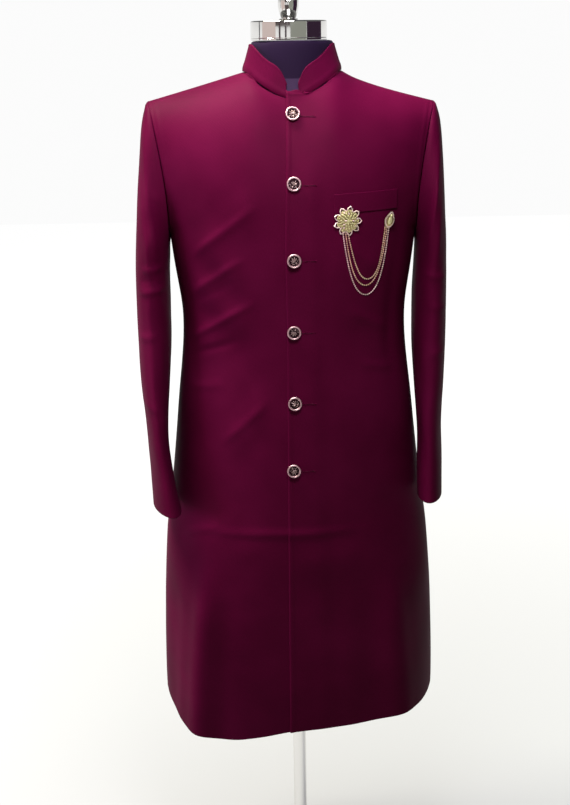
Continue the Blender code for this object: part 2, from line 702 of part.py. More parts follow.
def drop_outline():
    half, length = DROP["width"] / 2, DROP["length"]
    outline = []
    for i in range(16):
        angle = 2 * math.pi * i / 16
        pinch = math.cos(angle / 2) ** 2 if math.cos(angle) > 0 else 0.5
        width = half * math.sin(angle) * (1 if math.cos(angle) < 0 else 1.5 - pinch)
        outline.append((width, length * (0.5 * math.cos(angle))))
    return outline


def seat_on_front(place_at, lift):
    point, normal = left_front_at(*place_at)
    return point + normal * lift, normal


def brooch(finish):
    for name, spec, outline, spin in (
        ("brooch_flower", FLOWER, flower_outline(), 0.0),
        ("brooch_drop", DROP, drop_outline(), DROP["turn"]),
    ):
        seat, normal = seat_on_front(spec["at"], BROOCH_LIFT)
        plate = flat_plate(name, outline, BROOCH_PLATE, finish)
        raised = seat + normal * BROOCH_PLATE / 2
        plate.matrix_world = facing(raised, normal) @ Matrix.Rotation(math.radians(spin), 4, "Z")
    seat, normal = seat_on_front(FLOWER["at"], BROOCH_LIFT)
    dome = ((0.0, 0.0046), (0.0050, 0.0040), (0.0090, 0.0026), (ROSETTE_RADIUS, 0.0), (0.0, 0.0))
    rosette = turned("brooch_rosette", profile_mesh("rosette", dome), 18, finish)
    rosette.matrix_world = facing(seat + normal * (BROOCH_PLATE + SEAM_GAP), normal)


def hanging_line(from_x, from_z, to_x, to_z, low_z, drift, points):
    """Points of a chain that hangs between two places, as a catenary seen from the front."""
    slack, tight = 0.003, 0.2
    for _ in range(60):
        scale = (slack + tight) / 2
        left = scale * math.acosh(1 + (from_z - low_z) / scale)
        right = scale * math.acosh(1 + (to_z - low_z) / scale)
        if left + right < to_x - from_x:
            slack = scale
        else:
            tight = scale
    x_low = from_x + left
    # Even steps along the chain's length
    lengths = [scale * math.sinh((x - x_low) / scale) for x in (from_x, to_x)]
    places = []
    for share in np.linspace(0, 1, points):
        x = x_low + scale * math.asinh(mix(lengths[0], lengths[1], share) / scale)
        z = low_z + scale * (math.cosh((x - x_low) / scale) - 1)
        places.append((x + drift * math.sin(math.pi * share**0.7) ** 2, z))
    return places


def chains(finish):
    for number, row in enumerate(CHAINS, 1):
        curve = bpy.data.curves.new(f"chain_{number}", "CURVE")
        curve.dimensions = "3D"
        curve.bevel_depth = CHAIN_DIAMETER / 2
        curve.bevel_resolution = 2
        curve.use_fill_caps = True
        places = hanging_line(**dict(zip(CHAIN_COLUMNS, row)))
        spline = curve.splines.new("POLY")
        spline.points.add(len(places) - 1)
        for point, (x, z) in zip(spline.points, places):
            on_cloth, normal = left_front_at(x, z)
            seat = on_cloth + normal * (CHAIN_DIAMETER / 2 + CHAIN_LIFT)
            point.co = (*seat, 1)
        place(f"chain_{number}", curve, finish)


# ---- Dress form and stand ----------------------------------------------------------------------


def form_ring(v):
    """One ring of the form: the coat's own points moved in, and a plain plate at each armhole."""
    shares = np.concatenate([[0.0], panel_columns()])

    def inset_half(side, mirror):
        grid_v = np.full_like(shares, v)
        points = half_surface(side, shares, grid_v, mirror)
        outer, inner = body_wall(side, shares, grid_v, mirror)
        heights = column(FORM_INSETS, FORM_INSET_COLUMNS, "height")
        inset = eased(heights, column(FORM_INSETS, FORM_INSET_COLUMNS, "inset"), points[:, 2])
        return points - unit(outer - inner) * inset[:, None]

    ring = []
    for mirror in (1, -1):
        front, back = inset_half(FRONT, mirror), inset_half(BACK, mirror)
        if v >= 2:  # the halves meet along the shoulder
            on_shoulder = shares >= NECK_SHARE - 1e-9
            front[on_shoulder] = back[on_shoulder] = (front[on_shoulder] + back[on_shoulder]) / 2
        plate = [mix(front[-1], back[-1], share) for share in (1 / 3, 2 / 3)]
        bulge = 0.010 * min(1.0, abs(front[-1][1] - back[-1][1]) / 0.12)
        plate = [p + np.array([mirror * bulge, 0, 0]) for p in plate]
        half = [*front, *plate, *back[::-1]]
        ring.extend(half if mirror > 0 else half[::-1][1:-1])
    return ring


def foot_v():
    return (FORM_FOOT_Z - HEM_Z) / (CHEST_Z - HEM_Z)


def form_body(finish):
    levels = [*np.linspace(foot_v(), 1, 9)[:-1], *(1 + np.linspace(0, 1, 9))]
    rings = [form_ring(v) for v in levels]
    for point in rings[0]:
        point[2] = FORM_FOOT_Z
    top, count = rings[-1], len(rings[-1])

    def build(shape):
        grid = [[shape.verts.new(p) for p in ring] for ring in rings]
        grid_faces(shape, grid, closed=True)
        shape.faces.new(grid[0])
        # The neck grows out of those points of the top ring that lie on the neckline
        neck_share = [i for i in range(count) if abs(top[i][0]) <= SIDE_NECK[0] + 0.001]
        foot = [grid[-1][i] for i in neck_share]
        turns = [math.atan2(v.co.x, -(v.co.y - NECKLINE_Y)) for v in foot]
        order = sorted(range(len(foot)), key=lambda i: turns[i])
        foot = [foot[i] for i in order]
        turns = [turns[i] for i in order]
        seat, base, neck, head = [], [], [], []
        for vertex, turn in zip(foot, turns):
            x, y = NECK_HALF_WIDTH * math.sin(turn), -NECK_HALF_DEPTH * math.cos(turn)
            head_share = 1 - NECK_ROUND / NECK_HALF_DEPTH
            head.append(shape.verts.new((NECK_X + x * head_share, NECK_Y + y * head_share, NECK_TOP_Z)))
            x, y = NECK_X + x, NECK_Y + y
            inward = Vector((x, y, vertex.co.z))
            seat.append(shape.verts.new(vertex.co.lerp(inward, NECK_STEP)))
            base.append(shape.verts.new((x, y, vertex.co.z + NECK_RISE)))
            neck.append(shape.verts.new((x, y, NECK_TOP_Z - NECK_ROUND)))
        grid_faces(shape, [foot, seat, base, neck, head], closed=True)
        shape.faces.new(head)

    return mesh_object("form_body", build, finish, sharp=50)


def stand(chrome, iron):
    cap_z = NECK_TOP_Z + SEAM_GAP
    edge = 0.003
    cap = ((0.0, CAP_HEIGHT), (CAP_RADIUS - edge, CAP_HEIGHT), (CAP_RADIUS, CAP_HEIGHT - edge),
           (CAP_RADIUS, 0.0), (0.0, 0.0))
    turned("neck_cap", profile_mesh("cap", cap), 40, chrome).location = (CAP_X, NECK_Y, cap_z)
    knob = ((0.0, 0.050), (0.0070, 0.0485), (0.0130, 0.0425), (0.0168, 0.0320), (0.0172, 0.0250),
            (0.0150, 0.0120), (0.0118, 0.0030), (0.0155, 0.0018), (0.0155, 0.0), (0.0, 0.0))
    finial = turned("finial", profile_mesh("knob", knob), 20, chrome)
    finial.location = (CAP_X, NECK_Y, cap_z + CAP_HEIGHT + SEAM_GAP)
    hub_z = BASE_HEIGHT + 0.030
    base = ((0.0, hub_z), (0.026, hub_z), (0.030, hub_z - 0.006), (0.032, BASE_HEIGHT + 0.004),
            (0.060, BASE_HEIGHT), (BASE_RADIUS - 0.006, BASE_HEIGHT - 0.004),
            (BASE_RADIUS, BASE_HEIGHT - 0.009), (BASE_RADIUS, 0.0), (0.0, 0.0))
    turned("base", profile_mesh("base", base), 36, iron)
    low, high = hub_z + SEAM_GAP, FORM_FOOT_Z - SEAM_GAP
    bpy.ops.mesh.primitive_cylinder_add(vertices=28, radius=POLE_RADIUS, depth=high - low,
                                        location=(0, 0, (low + high) / 2))
    pole = bpy.context.object
    pole.name = pole.data.name = "pole"
    pole.data.materials.append(chrome)
    pole.data.shade_smooth()
    pole.data.set_sharp_from_angle(angle=math.radians(40))
    for collection in list(pole.users_collection):
        collection.objects.unlink(pole)
    bpy.data.collections[COLLECTION].objects.link(pole)


def main():
    for old in list(bpy.data.objects):
        bpy.data.objects.remove(old)
    bpy.context.scene.collection.children.link(bpy.data.collections.new(COLLECTION))
    cloth = material("wine_suiting", WINE, 0.7)
    ink = material("ink_jersey", INK, 0.85)
    chrome = material("chrome", CHROME, 0.12, 1.0)
    silver = material("rose_silver", SILVER, 0.25, 1.0)
    gold = material("pale_gold", GOLD, 0.3, 1.0)
    iron = material("black_iron", IRON, 0.45, 0.6)
    front_panel("front_left", 1, LAP_EDGE, lap_lift, cloth)
    front_panel("front_right", -1, UNDERLAP_EDGE, lambda u: np.zeros_like(u), cloth)
    back_panel(cloth)
    sleeve("sleeve_left", 1, cloth)
    sleeve("sleeve_right", -1, cloth)
    collar(cloth)
    welt(cloth)
    buttons(silver)
    brooch(gold)
    chains(gold)
    form_body(ink)
    stand(chrome, iron)


main()
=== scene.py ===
# Sherwani coat on a dress form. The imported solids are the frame, and everything seen is dressed onto them.
import math
import bmesh
import bpy
import numpy as np
from mathutils import Matrix, Vector, noise
from mathutils.bvhtree import BVHTree


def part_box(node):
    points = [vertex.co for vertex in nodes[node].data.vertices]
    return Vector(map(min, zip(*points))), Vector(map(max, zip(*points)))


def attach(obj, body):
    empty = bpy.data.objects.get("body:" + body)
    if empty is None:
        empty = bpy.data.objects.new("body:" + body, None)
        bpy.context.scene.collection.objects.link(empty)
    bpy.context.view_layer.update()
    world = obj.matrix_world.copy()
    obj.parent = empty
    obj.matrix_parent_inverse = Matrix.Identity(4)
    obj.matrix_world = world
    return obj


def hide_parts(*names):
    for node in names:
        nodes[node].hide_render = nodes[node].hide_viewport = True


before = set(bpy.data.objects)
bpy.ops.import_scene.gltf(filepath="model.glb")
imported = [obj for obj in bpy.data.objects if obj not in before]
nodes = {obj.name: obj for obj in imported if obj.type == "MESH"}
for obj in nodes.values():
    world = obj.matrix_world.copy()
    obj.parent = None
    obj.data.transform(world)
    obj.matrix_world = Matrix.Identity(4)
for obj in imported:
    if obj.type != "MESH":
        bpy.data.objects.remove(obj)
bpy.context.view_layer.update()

print("frame loaded,", len(nodes), "solids")

# camera, metres and degrees: it looks down a little from neck height
shot = {"distance": 2.0, "height": 1.6, "azimuth": -1.0, "aim": 0.504, "pitch": 17.08, "roll": 0.95,
        "lens": 52.77, "sensor": 36.0}


def placeObject(name, data):
    made = bpy.data.objects.new(name, data)
    bpy.context.collection.objects.link(made)
    return made


def makeCamera():
    turn, pitch, roll = (math.radians(shot[k]) for k in ("azimuth", "pitch", "roll"))
    look = turn + math.radians(shot["aim"])
    ahead = Vector((-math.sin(look) * math.cos(pitch), math.cos(look) * math.cos(pitch), -math.sin(pitch)))
    right = Vector((math.cos(look), math.sin(look), 0.0))
    up = right.cross(ahead)
    rolledRight = right * math.cos(roll) - up * math.sin(roll)
    rolledUp = up * math.cos(roll) + right * math.sin(roll)
    data = bpy.data.cameras.new("frontCamera")
    data.sensor_fit = "VERTICAL"
    data.sensor_height = shot["sensor"]
    data.lens = shot["lens"]
    data.clip_start = 0.05
    camera = placeObject("frontCamera", data)
    matrix = Matrix((rolledRight, rolledUp, -ahead)).transposed().to_4x4()
    matrix.translation = (shot["distance"] * math.sin(turn), -shot["distance"] * math.cos(turn),
                          shot["height"])
    camera.matrix_world = matrix
    bpy.context.scene.camera = camera


makeCamera()
print("camera placed")


# ways to make materials
def newMaterial(name, colour, roughness, metallic=0.0, **sockets):
    made = bpy.data.materials.new(name)
    made.use_nodes = True
    shader = made.node_tree.nodes["Principled BSDF"]
    shader.inputs["Base Color"].default_value = (*colour, 1)
    shader.inputs["Roughness"].default_value = roughness
    shader.inputs["Metallic"].default_value = metallic
    for socket, value in sockets.items():
        shader.inputs[socket.replace("_", " ")].default_value = value
    return made, made.node_tree, shader


def addNode(tree, kind, values=None, **settings):
    # a value that is another node's socket is linked, and any other is set
    node = tree.nodes.new(kind)
    for key, value in settings.items():
        setattr(node, key, value)
    for key, value in (values or {}).items():
        if isinstance(value, bpy.types.NodeSocket):
            tree.links.new(value, node.inputs[key])
        else:
            node.inputs[key].default_value = value
    return node


def ramp(tree, source, stops):
    node = addNode(tree, "ShaderNodeValToRGB", {"Fac": source})
    elements = node.color_ramp.elements
    while len(elements) < len(stops):
        elements.new(0.5)
    for element, (place, colour) in zip(elements, stops):
        element.position = place
        element.color = (*colour, 1)
    return node.outputs["Color"]


def noiseOf(tree, vector, scale, detail, roughness=0.5):
    values = {"Vector": vector, "Scale": scale, "Detail": detail, "Roughness": roughness}
    return addNode(tree, "ShaderNodeTexNoise", values).outputs["Fac"]


def rangeOf(tree, value, toMin, toMax, fromMin=0.0, fromMax=1.0):
    values = {"Value": value, "From Min": fromMin, "From Max": fromMax, "To Min": toMin, "To Max": toMax}
    return addNode(tree, "ShaderNodeMapRange", values).outputs["Result"]


def bumpOf(tree, height, strength, distance):
    values = {"Height": height, "Strength": strength, "Distance": distance}
    return addNode(tree, "ShaderNodeBump", values)


def objectPlace(tree):
    return addNode(tree, "ShaderNodeTexCoord").outputs["Object"]


# coat cloth: a fine worsted twill, wine red, with a soft nap
cloth = {
    "base": (0.063, 0.0010, 0.0170), "dark": (0.049, 0.0006, 0.0130), "light": (0.078, 0.0018, 0.0218),
    "roughness": 0.60, "smoother": 0.06, "rougher": 0.08, "specular": 0.022,
    "sheen": 0.003, "sheenTint": (0.95, 0.35, 0.70), "sheenRoughness": 0.40,
    "twillPitch": 0.0011, "twillBump": 0.22, "twillDepth": 0.00012,
    "threads": (1000, 230, 1), "slubBump": 0.42, "slubDepth": 0.00015,
    "patches": 5.5, "slubShare": 0.35, "darkAt": 0.36, "baseAt": 0.50, "lightAt": 0.64,
}


def clothMaterial(name, shade=1.0):
    base, dark, light = (tuple(c * shade for c in cloth[k]) for k in ("base", "dark", "light"))
    made, tree, shader = newMaterial(name, base, cloth["roughness"], Sheen_Weight=cloth["sheen"],
                                     Sheen_Roughness=cloth["sheenRoughness"],
                                     Sheen_Tint=(*cloth["sheenTint"], 1),
                                     Specular_IOR_Level=cloth["specular"])
    weave = addNode(tree, "ShaderNodeUVMap", uv_map="weave").outputs["UV"]
    # diagonal twill ribs and the unevenness of the yarn
    ribValues = {"Vector": weave, "Scale": 1 / (math.tau * cloth["twillPitch"]), "Distortion": 1.2,
                 "Detail": 1.0, "Detail Scale": 2.0}
    twill = addNode(tree, "ShaderNodeTexWave", ribValues, wave_type="BANDS", bands_direction="DIAGONAL")
    threads = addNode(tree, "ShaderNodeMapping", {"Vector": weave, "Scale": cloth["threads"]})
    slub = noiseOf(tree, threads.outputs["Vector"], 1.0, 3.0, 0.6)
    patches = noiseOf(tree, objectPlace(tree), cloth["patches"], 3.0, 0.55)
    mixed = addNode(tree, "ShaderNodeMix", {"Factor": cloth["slubShare"], "A": patches, "B": slub},
                    data_type="FLOAT")
    stops = ((cloth["darkAt"], dark), (cloth["baseAt"], base), (cloth["lightAt"], light))
    tree.links.new(ramp(tree, mixed.outputs["Result"], stops), shader.inputs["Base Color"])
    rough = rangeOf(tree, patches, cloth["roughness"] - cloth["smoother"],
                    cloth["roughness"] + cloth["rougher"])
    tree.links.new(rough, shader.inputs["Roughness"])
    ribs = bumpOf(tree, twill.outputs["Fac"], cloth["twillBump"], cloth["twillDepth"])
    yarn = bumpOf(tree, slub, cloth["slubBump"], cloth["slubDepth"])
    tree.links.new(ribs.outputs["Normal"], yarn.inputs["Normal"])
    tree.links.new(yarn.outputs["Normal"], shader.inputs["Normal"])
    return made


# the form's neck is dark jersey; below a soft edge the chest is given a lighter colour, painted light where
# the chest faces up
jersey = {"chest": (0.034, 0.017, 0.044), "neck": (0.010, 0.0035, 0.016), "edgeLow": 1.5405,
          "edgeHigh": 1.5425, "stitches": 900.0, "stitchBump": 0.25, "stitchDepth": 0.0002}


def jerseyMaterial():
    made, tree, shader = newMaterial("formJersey", (0.020, 0.006, 0.032), 0.8, Sheen_Weight=0.03,
                                     Sheen_Roughness=0.45, Sheen_Tint=(0.6, 0.5, 0.8, 1),
                                     Specular_IOR_Level=0.08)
    place = objectPlace(tree)
    split = addNode(tree, "ShaderNodeSeparateXYZ", {"Vector": place})
    level = rangeOf(tree, split.outputs["Z"], 0.0, 1.0, jersey["edgeLow"], jersey["edgeHigh"])
    # below the edge the colour is the painted light of the up-facing chest, above it the neck's own dark
    # colour
    colour = ramp(tree, level, ((0.0, jersey["chest"]), (1.0, jersey["neck"])))
    tree.links.new(colour, shader.inputs["Base Color"])
    stitch = noiseOf(tree, place, jersey["stitches"], 2.0)
    bump = bumpOf(tree, stitch, jersey["stitchBump"], jersey["stitchDepth"])
    tree.links.new(bump.outputs["Normal"], shader.inputs["Normal"])
    return made


def metalMaterial(name, colour, roughness, wear, grain=600.0, tarnish=None, metallic=1.0, specular=0.5):
    made, tree, shader = newMaterial(name, colour, roughness, metallic, Specular_IOR_Level=specular)
    spots = noiseOf(tree, objectPlace(tree), grain, 4.0, 0.6)
    rough = rangeOf(tree, spots, max(0.02, roughness - wear), roughness + wear)
    tree.links.new(rough, shader.inputs["Roughness"])
    shade = ramp(tree, spots, ((0.35, tarnish or colour), (0.6, colour)))
    tree.links.new(shade, shader.inputs["Base Color"])
    return made


finishes = {
    "wine": clothMaterial("wineSuiting"),
    "jersey": jerseyMaterial(),
    "rim": metalMaterial("roseSilver", (0.64, 0.43, 0.45), 0.44, 0.08, tarnish=(0.46, 0.27, 0.30)),
    "relief": metalMaterial("antiqueGold", (0.42, 0.31, 0.30), 0.46, 0.08, grain=1400.0,
                            tarnish=(0.20, 0.12, 0.12)),
    "recess": metalMaterial("blackenedRecess", (0.012, 0.002, 0.005), 0.75, 0.1, metallic=0.0,
                            specular=0.06),
    "gold": metalMaterial("paleGold", (0.52, 0.42, 0.20), 0.34, 0.08, tarnish=(0.22, 0.16, 0.07)),
    "roseChain": metalMaterial("roseChain", (0.84, 0.62, 0.62), 0.34, 0.06, tarnish=(0.60, 0.38, 0.38)),
    "goldChain": metalMaterial("goldChain", (0.80, 0.54, 0.42), 0.34, 0.06, tarnish=(0.54, 0.32, 0.20)),
    "chrome": metalMaterial("polishedChrome", (0.80, 0.79, 0.77), 0.07, 0.03, grain=60.0),
    "iron": metalMaterial("blackPaint", (0.03, 0.03, 0.033), 0.42, 0.08, metallic=0.1),
}


def stoneMaterial(name, colour):
    made = newMaterial(name, colour, 0.32, 0.45, Coat_Weight=0.3, Coat_Roughness=0.15, Specular_IOR_Level=0.5)
    return made[0]


finishes["roseStone"] = stoneMaterial("roseStone", (0.78, 0.58, 0.56))
finishes["goldStone"] = stoneMaterial("goldStone", (0.60, 0.55, 0.28))
finishes["wineThread"] = clothMaterial("wineThreadBright", 1.15)
# a near-black material for the buttonholes' cuts: painted shadow inside the slit
finishes["slitShadow"] = newMaterial("paintedSlitShadow", (0.010, 0.001, 0.003), 0.9)[0]
print("materials made")


# ways to make meshes
def addObject(name, mesh, finish, slotName, *replaced, smooth=True):
    for item in ([finish] if isinstance(finish, str) else finish):
        mesh.materials.append(finishes[item])
    if smooth:
        mesh.shade_smooth()
    piece = placeObject(name, mesh)
    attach(piece, "root")
    if replaced:
        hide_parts(*replaced)
    return piece


def meshFrom(name, build, sharp=None):
    mesh = bpy.data.meshes.new(name)
    shape = bmesh.new()
    build(shape)
    shape.to_mesh(mesh)
    shape.free()
    if sharp:
        mesh.shade_smooth()
        mesh.set_sharp_from_angle(angle=math.radians(sharp))
    return mesh


def turnProfile(shape, profile, steps, matrix, material=0):
    # profile runs from the top middle outwards and down, as (radius, height)
    rings = []
    for radius, height in profile:
        if radius < 1e-6:
            rings.append([shape.verts.new(matrix @ Vector((0, 0, height)))])
            continue
        angles = (2 * math.pi * i / steps for i in range(steps))
        rings.append([shape.verts.new(matrix @ Vector((radius * math.cos(a), radius * math.sin(a), height)))
                      for a in angles])
    for above, below in zip(rings, rings[1:]):
        for i in range(steps):
            k = (i + 1) % steps
            corners = [above[0]] if len(above) == 1 else [above[k], above[i]]
            corners += [below[0]] if len(below) == 1 else [below[i], below[k]]
            face = shape.faces.new(corners)
            face.material_index = material


def addBall(shape, centre, radius, detail=1, material=0, stretch=None):
    matrix = Matrix.Translation(centre)
    if stretch is not None:
        matrix = matrix @ stretch
    made = bmesh.ops.create_icosphere(shape, subdivisions=detail, radius=radius, matrix=matrix)
    for face in {f for v in made["verts"] for f in v.link_faces}:
        face.material_index = material


def addTube(shape, points, radii, sides=6, material=0, closed=False):
    # a round tube along points, its radius given at each point
    count = len(points)
    rings = []
    previous = None
    for i, point in enumerate(points):
        ahead = points[(i + 1) % count] if closed or i + 1 < count else points[i]
        behind = points[i - 1] if closed or i > 0 else points[i]
        along = (ahead - behind).normalized()
        side = previous or (Vector((0, 0, 1)) if abs(along.z) < 0.9 else Vector((1, 0, 0)))
        side = (side - along * side.dot(along)).normalized()
        other = along.cross(side)
        previous = side
        radius = radii[i] if hasattr(radii, "__len__") else radii
        angles = (2 * math.pi * k / sides for k in range(sides))
        rings.append([shape.verts.new(point + (side * math.cos(a) + other * math.sin(a)) * radius)
                      for a in angles])
    pairs = list(zip(rings, rings[1:])) + ([(rings[-1], rings[0])] if closed else [])
    for first, second in pairs:
        for k in range(sides):
            m = (k + 1) % sides
            shape.faces.new((first[k], first[m], second[m], second[k])).material_index = material
    if not closed:
        shape.faces.new(rings[0][::-1]).material_index = material
        shape.faces.new(rings[-1]).material_index = material


# chains: three strings of beads that hang from the flower to the drop
chain = {"diameter": 0.0025, "pitch": 0.0035, "wire": 0.0004}
chainRoutes = {  # from: x and z, to: the same, height of the lowest point, sideways drift, finish
    "chain_1": (0.0776, 1.3065, 0.1537, 1.3110, 1.2015, 0.0012, "roseChain"),
    "chain_2": (0.0815, 1.3095, 0.1505, 1.3115, 1.2175, 0.0, "goldChain"),
    "chain_3": (0.0855, 1.3070, 0.1475, 1.3130, 1.2275, 0.0032, "goldChain"),
}


def chainRoute(node):
    # a catenary seen from the front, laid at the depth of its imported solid
    fromX, fromZ, toX, toZ, lowZ, drift, _ = chainRoutes[node]
    slack, tight = 0.003, 0.2
    for _ in range(60):
        scale = (slack + tight) / 2
        left = scale * math.acosh(1 + (fromZ - lowZ) / scale)
        right = scale * math.acosh(1 + (toZ - lowZ) / scale)
        if left + right < toX - fromX:
            slack = scale
        else:
            tight = scale
    lowX = fromX + left
    start, end = (scale * math.sinh((x - lowX) / scale) for x in (fromX, toX))
    beads = round((end - start) / chain["pitch"])
    solid = np.array([v.co for v in nodes[node].data.vertices])
    places = []
    for i in range(beads + 1):
        x = lowX + scale * math.asinh((start + (end - start) * i / beads) / scale)
        z = lowZ + scale * (math.cosh((x - lowX) / scale) - 1)
        x += drift * math.sin(math.pi * (i / beads) ** 0.7) ** 2
        near = solid[np.argsort(np.hypot(solid[:, 0] - x, solid[:, 2] - z))[:12]]
        places.append([x, (near[:, 1].min() + near[:, 1].max()) / 2, z])
    depths = np.array([p[1] for p in places])
    for _ in range(6):
        depths[1:-1] = (depths[:-2] + 2 * depths[1:-1] + depths[2:]) / 4
    return [Vector((x, y, z)) for (x, _, z), y in zip(places, depths)]


def makeChain(node):
    places = chainRoute(node)

    def build(shape):
        addTube(shape, places, chain["wire"], sides=5)
        for place in places:
            addBall(shape, place, chain["diameter"] / 2, detail=2)

    name = node.replace("chain_", "beadChain")
    piece = addObject(name, meshFrom(name, build), chainRoutes[node][-1], "pale_gold", node)
    length = sum((b - a).length for a, b in zip(places, places[1:]))
    return length


chainLengths = {node: round(makeChain(node), 4) for node in chainRoutes}
print("chains hung:", chainLengths)


# reading the panels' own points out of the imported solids
def readSolid(node):
    shape = bmesh.new()
    shape.from_mesh(nodes[node].data)
    bmesh.ops.remove_doubles(shape, verts=shape.verts, dist=1e-5)
    bmesh.ops.triangulate(shape, faces=shape.faces)
    points = np.array([v.co for v in shape.verts])
    faces = [tuple(v.index for v in f.verts) for f in shape.faces]
    shape.free()
    return points, faces


def edgeMap(faces):
    found = {}
    for index, (a, b, c) in enumerate(faces):
        for pair in ((a, b), (b, c), (c, a)):
            found.setdefault(tuple(sorted(pair)), []).append(index)
    return found


def splitWall(node, thickness):
    # a wall's rim triangles each hold an edge as long as the cloth is thick: without them two skins are left
    points, faces = readSolid(node)

    def isRim(face):
        sides = (np.linalg.norm(points[face[i]] - points[face[i - 1]]) for i in range(3))
        return any(abs(side - thickness) < 0.001 * thickness for side in sides)

    skinFaces = [f for f in faces if not isRim(f)]
    edges = edgeMap(skinFaces)
    group = [-1] * len(skinFaces)
    groups = []
    for start in range(len(skinFaces)):
        if group[start] >= 0:
            continue
        group[start], stack, members = len(groups), [start], []
        while stack:
            index = stack.pop()
            members.append(index)
            a, b, c = skinFaces[index]
            for pair in ((a, b), (b, c), (c, a)):
                for other in edges[tuple(sorted(pair))]:
                    if group[other] < 0:
                        group[other] = len(groups)
                        stack.append(other)
        groups.append([skinFaces[m] for m in members])
    groups.sort(key=len, reverse=True)
    return points, groups[:2]


def boundaryLoops(faces):
    ahead = {}
    for a, b, c in faces:
        for pair in ((a, b), (b, c), (c, a)):
            ahead[pair] = True
    border = {a: b for a, b in ahead if (b, a) not in ahead}
    loops = []
    while border:
        start, here = next(iter(border.items()))
        loop = [start]
        del border[start]
        while here != start:
            loop.append(here)
            here = border.pop(here)
        loops.append(loop)
    return loops


def walkStrip(first, start, edges, faces, used, closed):
    # the next row of a grid, found by walking the strip of triangles beside the row before
    count = len(first)
    second, i = [start], 0
    while True:
        a, b = first[i % count], second[-1]
        free = [f for f in edges.get(tuple(sorted((a, b))), ()) if f not in used]
        if not free or (not closed and i == count - 1 and len(second) == count):
            break
        face = free[0]
        if closed and i == 0 and len(second) == 1:
            face = next((f for f in free if first[1] in faces[f]), free[0])
        used.add(face)
        third = next(v for v in faces[face] if v not in (a, b))
        if third == first[(i + 1) % count] and (closed or i + 1 < count):
            i += 1
        else:
            second.append(third)
    return second[:count]


def gridOf(points, faces, rows, columns, closed):
    edges = edgeMap(faces)
    used = set()
    loops = boundaryLoops(faces)
    if closed:
        ring = min(loops, key=lambda loop: points[loop, 2].mean())
        grid = [ring]
        for _ in range(rows - 1):
            base = grid[-1]
            face = next(f for f in edges[tuple(sorted(base[:2]))] if f not in used)
            start = next(v for v in faces[face] if v not in base[:2])
            found = walkStrip(base, start, edges, faces, used, True)
            shifts = [np.linalg.norm(points[base] - points[found[k:] + found[:k]], axis=1).sum()
                      for k in range(columns)]
            k = int(np.argmin(shifts))
            grid.append(found[k:] + found[:k])
        return points[np.array(grid)]
    loop = max(loops, key=len)
    length = len(loop)
    steps = points[np.roll(loop, -1)] - points[loop]
    steps /= np.linalg.norm(steps, axis=1)[:, None]
    bend = 1 - (steps * np.roll(steps, 1, axis=0)).sum(axis=1)
    corners = (0, columns - 1, columns + rows - 2, 2 * columns + rows - 3)
    at = max(range(length), key=lambda s: sum(bend[(s + c) % length] for c in corners))
    loop = loop[at:] + loop[:at]
    grid = [loop[:columns]]
    for r in range(1, rows):
        grid.append(walkStrip(grid[-1], loop[-r], edges, faces, used, False))
    return points[np.array(grid)]


def outerGrid(node, rows, columns, thickness, closed=False):
    # the outer points of a cloth wall, rows from low to high and columns from the wearer's right to left
    points, skins = splitWall(node, thickness)
    middle = points.mean(axis=0) if closed else np.zeros(3)

    def reach(faces):
        return np.linalg.norm((points[np.unique(faces)] - middle)[:, :2], axis=1).mean()

    skin = max(skins, key=reach)
    grid = gridOf(points, skin, rows, columns, closed)
    if grid[0, :, 2].mean() > grid[-1, :, 2].mean():
        grid = grid[::-1]
    across = np.cross(np.roll(grid, -1, axis=1) - grid, np.roll(grid, -1, axis=0) - grid)[:-1, :-1]
    outward = ((grid - middle)[:-1, :-1, :2] * across[..., :2]).sum()
    return grid if outward > 0 else grid[:, ::-1]


# splines over those points
def splineMatrix(knots, at):
    # values at any place from values at the knots, as a natural cubic spline
    n = len(knots)
    gaps = np.diff(knots)
    system, right = np.eye(n), np.zeros((n, n))
    for i in range(1, n - 1):
        system[i, i - 1:i + 2] = gaps[i - 1], 2 * (gaps[i - 1] + gaps[i]), gaps[i]
        right[i, i - 1:i + 2] = 6 / gaps[i - 1], -6 / gaps[i - 1] - 6 / gaps[i], 6 / gaps[i]
    bends = np.linalg.solve(system, right)
    at = np.clip(at, knots[0], knots[-1])
    k = np.clip(np.searchsorted(knots, at, side="right") - 1, 0, n - 2)
    h = gaps[k]
    a, b = (knots[k + 1] - at) / h, (at - knots[k]) / h
    matrix = np.zeros((len(at), n))
    rowsAt = np.arange(len(at))
    matrix[rowsAt, k] += a
    matrix[rowsAt, k + 1] += b
    low, high = (((share**3 - share) * h**2 / 6)[:, None] for share in (a, b))
    return matrix + low * bends[k] + high * bends[k + 1]


def knotsAlong(grid, axis):
    steps = np.linalg.norm(np.diff(grid, axis=axis), axis=-1).mean(axis=1 - axis)
    return np.concatenate([[0.0], np.cumsum(steps)])


def sampleLine(length, cell, fineEnds):
    # places along a side: even cells, with close ones at an end that is rolled over
    ends = np.array([0.0, 0.0005, 0.0013, 0.0026]) if fineEnds else np.array([0.0])
    inner = np.linspace(ends[-1], length - ends[-1], max(2, round((length - 2 * ends[-1]) / cell)) + 1)
    return np.concatenate([ends[:-1], inner, length - ends[:-1][::-1]])


def fineGrid(grid, cell, closed):
    wrap = 4
    if closed:
        grid = np.concatenate([grid[:, -wrap:], grid, grid[:, :wrap]], axis=1)
    up, across = knotsAlong(grid, 0), knotsAlong(grid, 1)
    upAt = sampleLine(up[-1], cell, True)
    if closed:
        first, last = across[wrap], across[-wrap]
        acrossAt = np.linspace(first, last, round((last - first) / cell) + 1)[:-1]
    else:
        acrossAt = sampleLine(across[-1], cell, True)
    fine = np.einsum("ai,bj,ijk->abk", splineMatrix(up, upAt), splineMatrix(across, acrossAt), grid)
    return fine, upAt, acrossAt - acrossAt[0]


